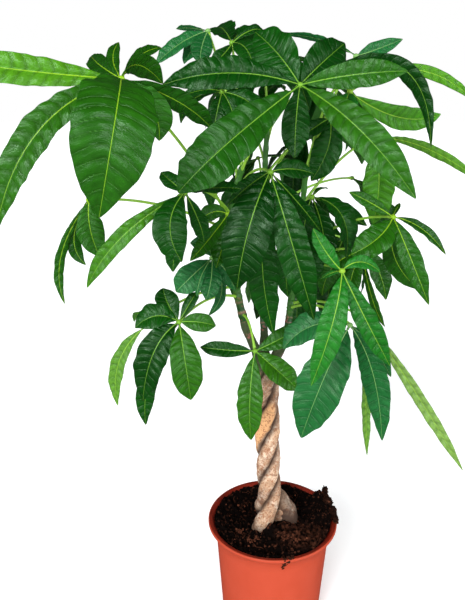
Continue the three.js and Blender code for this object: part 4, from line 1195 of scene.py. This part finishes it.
# %% Grid of a leaflet
def blade_grid(blade, step):
    """Places t along a blade, places s round its section, and the face of each s: -1 below, 1 above.

    s runs from one edge (1) under the blade to the other (-1) and back above it, as sign * (1 - (1 -
    |u|^1.3)^2) for even steps of u, so that the places crowd at the edges and at the rib.
    """
    count = max(int(blade.curve.length / step), 14)
    columns = 2 * int(np.clip(blade.width / 3.2, 4, 11))
    u = 1 - 2 * np.arange(columns) / columns
    u = np.concatenate([u, -u])
    s = np.sign(u) * (1 - (1 - np.abs(u) ** 1.3) ** 2)
    return np.linspace(0, 1, count + 1) * 0.997, s, np.repeat([-1.0, 1.0], columns)


def ragged_reach(blade, t, along, s, dice):
    """Half the width at each place: the frame's, narrowed to the tip and held open at the neck by the
    stalklet, times 1 + noise that runs along each margin."""
    stalklet = NECK_WIDTH * 0.42 * (1 - ease(0.03, 0.1, t))
    smooth = np.maximum(half_width(t, blade.width) * (1 - 0.3 * ease(0.8, 1.0, t)), stalklet)
    margin = np.stack([along, 40 * np.sign(s), 0 * s + dice.uniform(0, 99)], -1)
    return np.maximum(smooth[:, None] * (1 + 0.07 * noise(margin, 8.0, 92) * np.abs(s)), 0.12)


# %% Veins, quilt and waves
def vein_phase(along, beside, reach, spacing, slant):
    """Counts side veins: whole numbers are veins. They leave the rib at a slant and curve to the tip."""
    return (along - slant * beside - 0.3 * beside ** 2 / np.maximum(reach, 1)) / spacing


def quilt_height(phase, to_edge):
    """Puffs between the side veins: |sin(pi * phase)|^0.8, with none at the rib and less at the edge."""
    return (np.abs(np.sin(np.pi * phase)) ** 0.8 * ease(0.04, 0.35, to_edge)
            * (1 - 0.45 * ease(0.7, 1, to_edge)))


def margin_waves(along, s, spacing, dice):
    """A sine along each half of a blade, with a length and a start of its own."""
    return sum(np.where(side, np.sin(2 * np.pi * along / (spacing * dice.uniform(2.3, 3.6))
               + dice.uniform(0, 2 * np.pi)), 0) for side in (s > 0, s < 0))


def face_heights(t, to_edge, beside, rib_width):
    """How far the lower and the upper face stand from the middle of the sheet, which thins to the edge as
    (1 - s^4)^(1/2). The rib is a bell that stands out below and sinks in above, past the stalklet."""
    rib = np.exp(-(beside / (rib_width + 0.25)) ** 2)
    sheet = 0.14 * np.sqrt(np.clip(1 - to_edge ** 4, 0, 1))
    stem = 1 - ease(0.0, 0.12, t)
    return sheet + (0.7 * (1 - t) + 0.12) * rib, sheet + 0.5 * stem * rib - 0.12 * (1 - stem) * rib


# %% Blade surface
def blade_skin(blade, step, dice, shade, toward_eye):
    """Skin and marks of a leaflet. t runs along it and s from edge to edge; point = rib + across * s *
    half width + upper * (fold + curl + quilt + wrinkles + waves +- thickness)."""
    t, s, face = blade_grid(blade, step)
    t_grid, s_grid = np.meshgrid(t, s, indexing="ij")
    along, to_edge = t_grid * blade.curve.length, np.abs(s_grid)
    reach = ragged_reach(blade, t, along, s_grid, dice)
    beside = to_edge * reach
    spacing = 3.6 + 0.045 * blade.curve.length
    slant = dice.uniform(0.05, 0.25)
    phase = vein_phase(along, beside, reach, spacing, slant) + 0.25 * np.tanh(s_grid * reach)
    body = ease(0.04, 0.16, t_grid) * (1 - ease(0.9, 1.0, t_grid))
    waves = margin_waves(along, s_grid, spacing, dice)
    curl = dice.uniform(0.1, 0.22)
    bow = math.sin(FOLD) * 1.5 * to_edge - curl * to_edge ** 2

    centre, across, upper = blade.frame(t)
    flat = centre[:, None] + across[:, None] * (reach * s_grid)[..., None]
    wrinkles = noise(flat, 6.0, 91) * body * (1 - np.exp(-(beside / 2) ** 2))
    uneven = 0.75 + 0.5 * noise(flat, 17.0, 93)
    quilt = quilt_height(phase, to_edge) * body
    over = -1 if toward_eye and blade.turned_away() else 1
    rib_width = 0.18 + 0.42 * (1 - t_grid)
    below, above = face_heights(t_grid, to_edge, beside, rib_width)
    lift = (reach * bow + over * (0.14 * spacing * quilt * uneven + 0.5 * wrinkles)
            + np.minimum(0.085 * reach, 1.6) * waves * to_edge ** 2 * body)
    lift = lift + np.where(face * over < 0, -below * over, above * over)

    sideways = reach * s_grid * math.cos(FOLD)
    rings = centre[:, None] + across[:, None] * sideways[..., None] + upper[:, None] * lift[..., None]
    marks = {
        "vein": np.stack([beside / rib_width, phase, np.full_like(phase, spacing)], -1),
        "look": np.stack([t_grid, to_edge, np.full_like(phase, shade)], -1),
        "under": np.broadcast_to(np.where(face * over < 0, 1.0, 0.0), phase.shape),
    }
    return closed_skin(rings), {name: grid_marks(values) for name, values in marks.items()}


# %% [markdown]
# ### Leaf tissue
#
# The upper face of a leaflet has a thin wax skin: dark green tissue under a clear gloss, which mirrors
# the sky as a cool sheen wherever the quilt tilts to it. The tissue is painted darker in the grooves by the
# veins and along the creases, as painted shade. The rib is almost bare of green, so it shows pale lime, and
# the side veins are a fainter version of it. The underside is paler and duller. Young leaves are lighter
# and yellower than old ones, so there is one finish for each tone; the young finish also carries painted
# back light, and the bluish finish a painted sheen of the sky. A mark on each leaflet makes it a little
# darker or yellower than its neighbours; on one leaflet it is a painted shadow, and on the palest ones
# painted back light. Clouds in the green are about 30 mm across, and the net of the smallest veins has
# meshes of 1.6 mm.

# %% Leaf finish
def leaf_finish(name, dark, light, vein_colour, rib_colour):
    """Waxy leaf: tissue from dark to light by noise and by blade, pale veins and rib, paler underneath."""
    material, shader = new_material(name)
    place = add(material, "ShaderNodeTexCoord", out="Object")
    (from_rib, phase, spacing), (along, to_edge, shade) = (
        add(material, "ShaderNodeSeparateXYZ", {0: add(material, "ShaderNodeAttribute", out="Vector",
            attribute_name=mark)}, out=None).outputs for mark in ("vein", "look"))
    under = add(material, "ShaderNodeAttribute", out="Fac", attribute_name="under")

    # Tissue: dark to light, then yellow-green and grey-green, for young and pale blades and as painted back
    # light on some leaflets
    cloud = add(material, "ShaderNodeTexNoise", {"Vector": place, "Scale": 34.0, "Detail": 4.0}, out="Fac")
    mixed = add(material, "ShaderNodeMath", {0: shade, 1: 0.28, 2: cloud}, operation="MULTIPLY_ADD",
                use_clamp=True)
    yellow_green_share = add(material, "ShaderNodeMapRange", {"Value": shade, "From Min": 1.0, "From Max": 2.0})
    grey_green_share = add(material, "ShaderNodeMapRange", {"Value": shade, "From Min": 2.0, "From Max": 3.0})
    colour = linear(dark)
    for share, layer in ((mixed, light), (yellow_green_share, "#417810"), (grey_green_share, "#66863c")):
        colour = add(material, "ShaderNodeMix", {SHARE: share, FIRST: colour, SECOND: linear(layer)},
                     **COLOURS)

    # Distance to the nearest side vein, in spacings: |fraction of (phase + 1/2) - 1/2|
    off = phase
    for operation, value in (("ADD", 0.5), ("FRACT", 0.0), ("ADD", -0.5), ("ABSOLUTE", 0.0)):
        off = add(material, "ShaderNodeMath", {0: off, 1: value}, operation=operation)

    # Creases that run with the veins, and painted shade: darker tissue in the grooves by the veins and along
    # the creases
    leaf_place = add(material, "ShaderNodeCombineXYZ", {0: phase, 1: to_edge, 2: shade})
    leaf_place = add(material, "ShaderNodeVectorMath", {0: leaf_place, 1: (2.6, 2.2, 9.0)},
                     operation="MULTIPLY")
    creases = add(material, "ShaderNodeTexNoise", {"Vector": leaf_place, "Scale": 1.0, "Detail": 3.0},
                  out="Fac")
    vein_groove_shade = add(material, "ShaderNodeMapRange", {"Value": off, "From Min": 0.02, "From Max": 0.3,
                 "To Min": 0.8, "To Max": 1.06})
    # The crease noise also paints shade along the creases, darker in some and lighter in others
    thick = add(material, "ShaderNodeMapRange", {"Value": creases, "From Min": 0.35, "From Max": 0.65,
                "To Min": 0.85, "To Max": 1.15})
    depth = add(material, "ShaderNodeMath", {0: vein_groove_shade, 1: thick}, operation="MULTIPLY")
    # The tissue colour is scaled by this painted shade
    colour = add(material, "ShaderNodeVectorMath", {0: colour, "Scale": depth}, operation="SCALE")

    # Side veins that fade to the edge, and the rib, which fades to the tip
    off = add(material, "ShaderNodeMath", {0: off, 1: spacing}, operation="MULTIPLY")
    line, rib = (
        add(material, "ShaderNodeMapRange", {"Value": distance, "From Min": low, "From Max": high,
            "To Min": 1.0, "To Max": 0.0}, interpolation_type="SMOOTHSTEP")
        for distance, low, high in ((off, 0.15, 0.7), (from_rib, 0.6, 1.15)))
    line_fade = add(material, "ShaderNodeMapRange", {"Value": to_edge, "From Min": 0.2, "From Max": 1.0,
                    "To Min": 0.24, "To Max": 0.06})
    rib_fade = add(material, "ShaderNodeMapRange", {"Value": along, "To Min": 1.0, "To Max": 0.55})
    for vein, fade, layer in ((line, line_fade, vein_colour), (rib, rib_fade, rib_colour)):
        share = add(material, "ShaderNodeMath", {0: vein, 1: fade}, operation="MULTIPLY")
        colour = add(material, "ShaderNodeMix", {SHARE: share, FIRST: colour, SECOND: linear(layer)},
                     **COLOURS)
    paler = add(material, "ShaderNodeMix", {SHARE: 0.5, FIRST: colour, SECOND: linear("#3c7428")},
                **COLOURS)
    colour = add(material, "ShaderNodeMix", {SHARE: under, FIRST: colour, SECOND: paler}, **COLOURS)

    # Relief of the veins, their net and the creases, and a duller underside
    net = add(material, "ShaderNodeTexVoronoi", {"Vector": place, "Scale": 620.0}, out="Distance",
              feature="DISTANCE_TO_EDGE")
    height = add(material, "ShaderNodeMath", {0: line, 1: -1.6, 2: net}, operation="MULTIPLY_ADD")
    height = add(material, "ShaderNodeMath", {0: creases, 1: 7.0, 2: height}, operation="MULTIPLY_ADD")
    relief = add(material, "ShaderNodeBump", {"Strength": 0.6, "Distance": 0.25 * MM, "Height": height})
    rough = add(material, "ShaderNodeMapRange", {"Value": cloud, "From Min": 0.3, "From Max": 0.7,
                "To Min": 0.26, "To Max": 0.37})
    rough = add(material, "ShaderNodeMath", {0: under, 1: 0.2, 2: rough}, operation="MULTIPLY_ADD")
    plug(material, shader, {"Base Color": colour, "Roughness": rough, "Normal": relief,
                            "Specular IOR Level": 0.36, "Specular Tint": linear("#ccecc8")})
    return material


# The young finish is lighter partly as painted back light, and the bluish finish carries a painted sheen of
# the sky
FINISHES = {
    "dark": leaf_finish("waxy leaf, old", "#022a02", "#0b4505", "#3a7028", "#6c9a2c"),
    "mid": leaf_finish("waxy leaf, full grown", "#0e3c03", "#205707", "#3c7420", "#86b020"),
    "bright": leaf_finish("waxy leaf, young, painted back light", "#0c500c", "#1c681a", "#448634", "#84ac30"),
    "teal": leaf_finish("waxy leaf, bluish, painted sheen", "#0c4419", "#1d5f2d", "#4a8254", "#749e58"),
    "back": leaf_finish("waxy leaf, in shade", "#022402", "#0c3e05", "#346824", "#64902e"),
}
# Leaflets that differ from their hand, counted from 1: below 0 is darker, on the centre leaf's first
# leaflet a painted shadow from the leaf above; 2 is yellow-green and 3 is paler as well, partly young
# tissue and, on the palest leaflets, painted back light through the blade
LEAFLET_TONE_AND_LIGHT = {
    "near_left": {2: 2.0, 3: 1.1}, "left_fan": {1: 1.6}, "low_left_light": {1: 2.3, 2: 2},
    "right_upper": {1: 1.7, 3: 2}, "right_middle": {1: 1.7, 2: 2.2}, "low_right_long": {1: 3, 2: 2.5},
    "top_front": {1: 1.1, 2: 1.25, 4: 1.2}, "low_front": {1: 1.3, 2: 1.35, 4: 1.2},
    "low_left": {1: 1.25, 3: 1.25}, "centre": {1: -1.5},
}

# %% Leaves
HUB_RADIUS = 3.2
STEP_IN_VIEW, STEP_BEHIND = 1.5, 2.4  # length of a leaflet between two rings
dice = np.random.default_rng(7)
for name, leaf in LEAVES.items():
    step = STEP_IN_VIEW if "blades" in leaf else STEP_BEHIND
    batch = Batch()
    for i, blade in enumerate(leaf["found"]):
        # A leaflet's shade mark: its own tone, with a painted shadow on one leaflet and painted back light on
        # the palest
        shade = LEAFLET_TONE_AND_LIGHT.get(name, {}).get(i + 1, dice.uniform(-1, 1))
        skin, marks = blade_skin(blade, step, dice, shade, "blades" in leaf)
        batch.add(skin, **marks)
    knot = ball(16, 10) * (HUB_RADIUS * np.array([1, 1, 0.85])) + leaf["centre"]
    batch.add(closed_skin(knot), vein=np.zeros((1, 3)), look=np.zeros((1, 3)), under=0.0)
    make_piece(f"foliage_{name}", batch, FINISHES[leaf["tone"]],
               replaced=(f"leaf_{name}",))

# %% [markdown]
# ## Shoots and leaf stalks
#
# Each shoot is a round green stem with a swollen node wherever a leaf stalk leaves it. A leaf stalk has a
# small swelling at both ends, which lets the leaf turn to the light. A stalk bows up by an amount that is
# again read back from the frame.

# %% Stalk curves
STALK_RADII = (1.8, 1.3)
HUB_STAND = 3.0  # distance from the stalk's end to the hub's centre
LIFTS = (12, 4, 20, -4, 28, -12, 36, -20, 44)


def stalk_curve(leaf, lift):
    """From the shoot to just under the hub, through a middle point that is lifted."""
    shoot, share = leaf["stem"]
    start = shoot_curves[shoot].point(share)
    middle = (start + leaf["centre"]) / 2 + UP * lift
    end = leaf["centre"] - Bow(start, middle, leaf["centre"]).heading(1.0) * HUB_STAND
    return Bow(start, middle, end)


def stalk_corners(curve):
    """The corners that the frame's plain stalk has three quarters along it."""
    places = np.array([0.5, 0.75, 1.0])
    sideways = unit(np.cross(curve.heading(0.5), UP))
    radius = STALK_RADII[0] + (STALK_RADII[1] - STALK_RADII[0]) * places
    return tube_rings(curve.point(places), radius, 4, sideways)[1]


for name, leaf in LEAVES.items():
    points = frame_points("shoot_" + leaf["stem"][0])
    curves = [stalk_curve(leaf, lift) for lift in LIFTS]
    scores = [found_in(stalk_corners(curve), points) for curve in curves]
    leaf["stalk"] = curves[int(np.argmax(scores))]
    if max(scores) < 2:
        print("no stalk found in the frame for", name)

# %% [markdown]
# ### Young stem
#
# The skin of a young stem is smooth and a little waxy, so it shines softly. A leaf stalk is lighter and
# yellower than its stem. Toward the trunk the green turns to cork in patches of about 6 mm, and the scars
# of fallen leaves are pale and reddish.

# %% Green stem material
green_stem, shader = new_material("green stem")
place = add(green_stem, "ShaderNodeTexCoord", out="Object")
marks = add(green_stem, "ShaderNodeAttribute", out="Vector", attribute_name="stem")
woody, scarred, thin = add(green_stem, "ShaderNodeSeparateXYZ", {0: marks}, out=None).outputs
cloud = add(green_stem, "ShaderNodeTexNoise", {"Vector": place, "Scale": 160.0, "Detail": 4.0}, out="Fac")
corky = add(green_stem, "ShaderNodeMapRange", {"Value": cloud, "From Min": 0.6, "From Max": 0.65})
colour, stalk_green, cork = (
    add(green_stem, "ShaderNodeMix", {SHARE: share, FIRST: linear(low), SECOND: linear(high)}, **COLOURS)
    for share, low, high in ((cloud, "#1c4c0e", "#3c7c1c"), (cloud, "#5a9420", "#9cc83c"),
                             (corky, "#164210", "#7c3c34")))
for share, layer in ((thin, stalk_green), (woody, cork), (scarred, linear("#a06c5c"))):
    colour = add(green_stem, "ShaderNodeMix", {SHARE: share, FIRST: colour, SECOND: layer}, **COLOURS)
relief = add(green_stem, "ShaderNodeBump", {"Strength": 0.3, "Distance": 0.3 * MM, "Height": cloud})
plug(green_stem, shader, {"Base Color": colour, "Roughness": 0.45, "Normal": relief})

# %% A shoot and a stalk
FOOT_DEPTH = -0.012  # share of its length by which a shoot reaches down into its trunk
AROUND_SHOOT, SHOOT_RINGS, BUD_RINGS, AROUND_STALK = 24, 222, 8, 14
STALK_MARKS = np.array([[0.0, 0.0, 1.0]])  # not woody, no scar, thin


def shoot_skin(curve, radii, joints):
    """A shoot and its marks: radius * (1 + a bell at each joint + one at each leaf scar) + five ridges
    that wind round it, closed by a tapering bud."""
    t = np.linspace(FOOT_DEPTH, 1, SHOOT_RINGS)
    length = t[:, None] * curve.length
    radius = np.interp(t, (0, 1), radii)[:, None]
    swelling = sum(np.exp(-((length - joint * curve.length) / 2.6) ** 2) for joint in joints)
    scars = sum(np.exp(-((length - at) / 1.3) ** 2) for at in np.arange(9, curve.length * 0.3, 11.0))
    turn = 2 * np.pi * np.arange(AROUND_SHOOT) / AROUND_SHOOT
    ridges = 0.18 * np.cos(5 * turn + length / 9.0)
    swollen = radius * (1 + 0.2 * np.minimum(swelling, 1) + 0.1 * scars) + ridges
    centres = curve.point(t)
    bud = centres[-1] + curve.heading(1.0) * np.linspace(0.8, 7, BUD_RINGS)[:, None]
    bud_radii = radii[1] * np.linspace(1.05, 0.12, BUD_RINGS) ** 0.8
    rings = np.concatenate([tube_rings(centres, swollen, AROUND_SHOOT, (0, -1, 0)),
                            tube_rings(bud, bud_radii, AROUND_SHOOT, (0, -1, 0))])
    woody = np.pad(1 - ease(0.06, 0.2, t), (0, BUD_RINGS))
    scarred = np.pad(0.55 * np.minimum(scars, 1)[:, 0], (0, BUD_RINGS)) * woody
    marks = np.stack([woody, scarred, 0 * woody], -1)[:, None]
    return closed_skin(rings), grid_marks(np.broadcast_to(marks, (*rings.shape[:2], 3)))


def stalk_skin(stalk):
    """A leaf stalk: a tapering tube with a bell-shaped swelling at its foot and one at the hub."""
    t = np.linspace(0, 1, max(int(stalk.length / 2), 12))
    from_foot = t * stalk.length
    from_hub = stalk.length - from_foot
    swell = 1 + 0.45 * np.exp(-(from_foot / 4.5) ** 2) + 0.6 * np.exp(-(from_hub / 4) ** 2)
    radius = np.interp(t, (0, 1), STALK_RADII) * swell * 0.92
    sideways = unit(np.cross(stalk.heading(0.5), UP))
    return closed_skin(tube_rings(stalk.point(t), radius, AROUND_STALK, sideways))


# %% Shoots with their stalks
for name, shoot in SHOOTS.items():
    own = [leaf for leaf in LEAVES.values() if leaf["stem"][0] == name]
    batch = Batch()
    skin, marks = shoot_skin(shoot_curves[name], shoot["radius"], [leaf["stem"][1] for leaf in own])
    batch.add(skin, stem=marks)
    for leaf in own:
        batch.add(stalk_skin(leaf["stalk"]), stem=STALK_MARKS)
    make_piece(f"green_shoot_{name}", batch, green_stem, replaced=(f"shoot_{name}",))

# %% [markdown]
# ## Floor and light
#
# The picture is lit softly from the front and above, in a white room. The world is white at the height of
# the horizon and greyer overhead. Four broad lamps stand far off: the key lamp above the camera's left
# shoulder gives the leaves shape and gloss, a weak one near the camera fills the front, and one at each
# side lights the edges of the leaves and the flanks of the pot. The floor glows faintly, which keeps it
# white round the pot. A waxy leaf that mirrors a white room turns milky, so rays that come from a mirror
# image meet a dimmer world and a grey floor.

# %% Floor
FLOOR_RADIUS, FLOOR_DEPTH = 9000.0, 6.0
floor_material, shader = new_material("white studio floor")
place = add(floor_material, "ShaderNodeTexCoord", out="Object")
pale = add(floor_material, "ShaderNodeTexNoise", {"Vector": place, "Scale": 2.0}, out="Fac")
mirrored = add(floor_material, "ShaderNodeLightPath", out="Is Glossy Ray")
colour = linear("#f6f6f6")
for share, layer in ((pale, "#fafafa"), (mirrored, "#404040")):
    colour = add(floor_material, "ShaderNodeMix", {SHARE: share, FIRST: colour, SECOND: linear(layer)},
                 **COLOURS)
glow = add(floor_material, "ShaderNodeMapRange", {"Value": mirrored, "To Min": 0.3, "To Max": 0.0})
plug(floor_material, shader, {"Base Color": colour, "Roughness": 0.9, "Emission Color": linear("#f8f8f8"),
                              "Emission Strength": glow})
floor_line = np.array([(0.4, -FLOOR_DEPTH), (FLOOR_RADIUS, -FLOOR_DEPTH), (FLOOR_RADIUS, 0), (0.4, 0)])
floor_points, floor_quads, floor_triangles = closed_skin(turned(floor_line, 96))
floor_mesh = bpy.data.meshes.new("floor")
floor_mesh.from_pydata((floor_points * MM).tolist(), [], [*floor_quads.tolist(), *floor_triangles.tolist()])
floor_mesh.materials.append(floor_material)
floor = bpy.data.objects.new("floor", floor_mesh)
bpy.context.scene.collection.objects.link(floor)
floor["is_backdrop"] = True

# %% Light
world = bpy.data.worlds.new("white room")
world.use_nodes = True
way = add(world, "ShaderNodeSeparateXYZ", {0: add(world, "ShaderNodeTexCoord", out="Generated")}, out="Z")
strength = add(world, "ShaderNodeMapRange", {"Value": way, "From Min": 0.1, "From Max": 0.36,
               "To Min": 1.0, "To Max": 0.42})
mirrored = add(world, "ShaderNodeLightPath", out="Is Glossy Ray")
dimmer = add(world, "ShaderNodeMapRange", {"Value": mirrored, "To Min": 1.0, "To Max": 0.08})
strength = add(world, "ShaderNodeMath", {0: strength, 1: dimmer}, operation="MULTIPLY")
plug(world, world.node_tree.nodes["Background"], {"Color": (1, 1, 1, 1), "Strength": strength})
bpy.context.scene.world = world
LAMP_AIM = np.array([0.0, 0.0, 0.4])  # the middle of the plant, in metres


def broad_lamp(name, place, spread, strength):
    """A far lamp that shines from a place past the middle of the plant and fills an angle in the sky."""
    data = bpy.data.lights.new(name, "SUN")
    data.angle, data.energy = math.radians(spread), strength
    data.color = (0.94, 0.98, 1.0)
    lamp = bpy.data.objects.new(name, data)
    aim = LAMP_AIM - np.array(place)
    flat = math.hypot(aim[0], aim[1])
    lamp.rotation_euler = (math.atan2(flat, -aim[2]), 0, math.atan2(-aim[0], aim[1]))
    bpy.context.scene.collection.objects.link(lamp)


broad_lamp("key_lamp", (-0.9, -2.1, 1.75), 20, 2.6)
broad_lamp("front_lamp", (0.12, -2.4, 0.8), 22, 0.8)
broad_lamp("left_lamp", (-2.0, -1.2, 1.15), 28, 0.8)
broad_lamp("right_lamp", (2.0, -1.4, 1.1), 28, 1.7)
bpy.context.scene.view_settings.view_transform = "Standard"

# %% Sizes
visual_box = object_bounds()
for label, box in (("frame", cad_box), ("dressed", visual_box)):
    print(label, "box in mm:", [round(value / MM) for corner in box for value in corner])
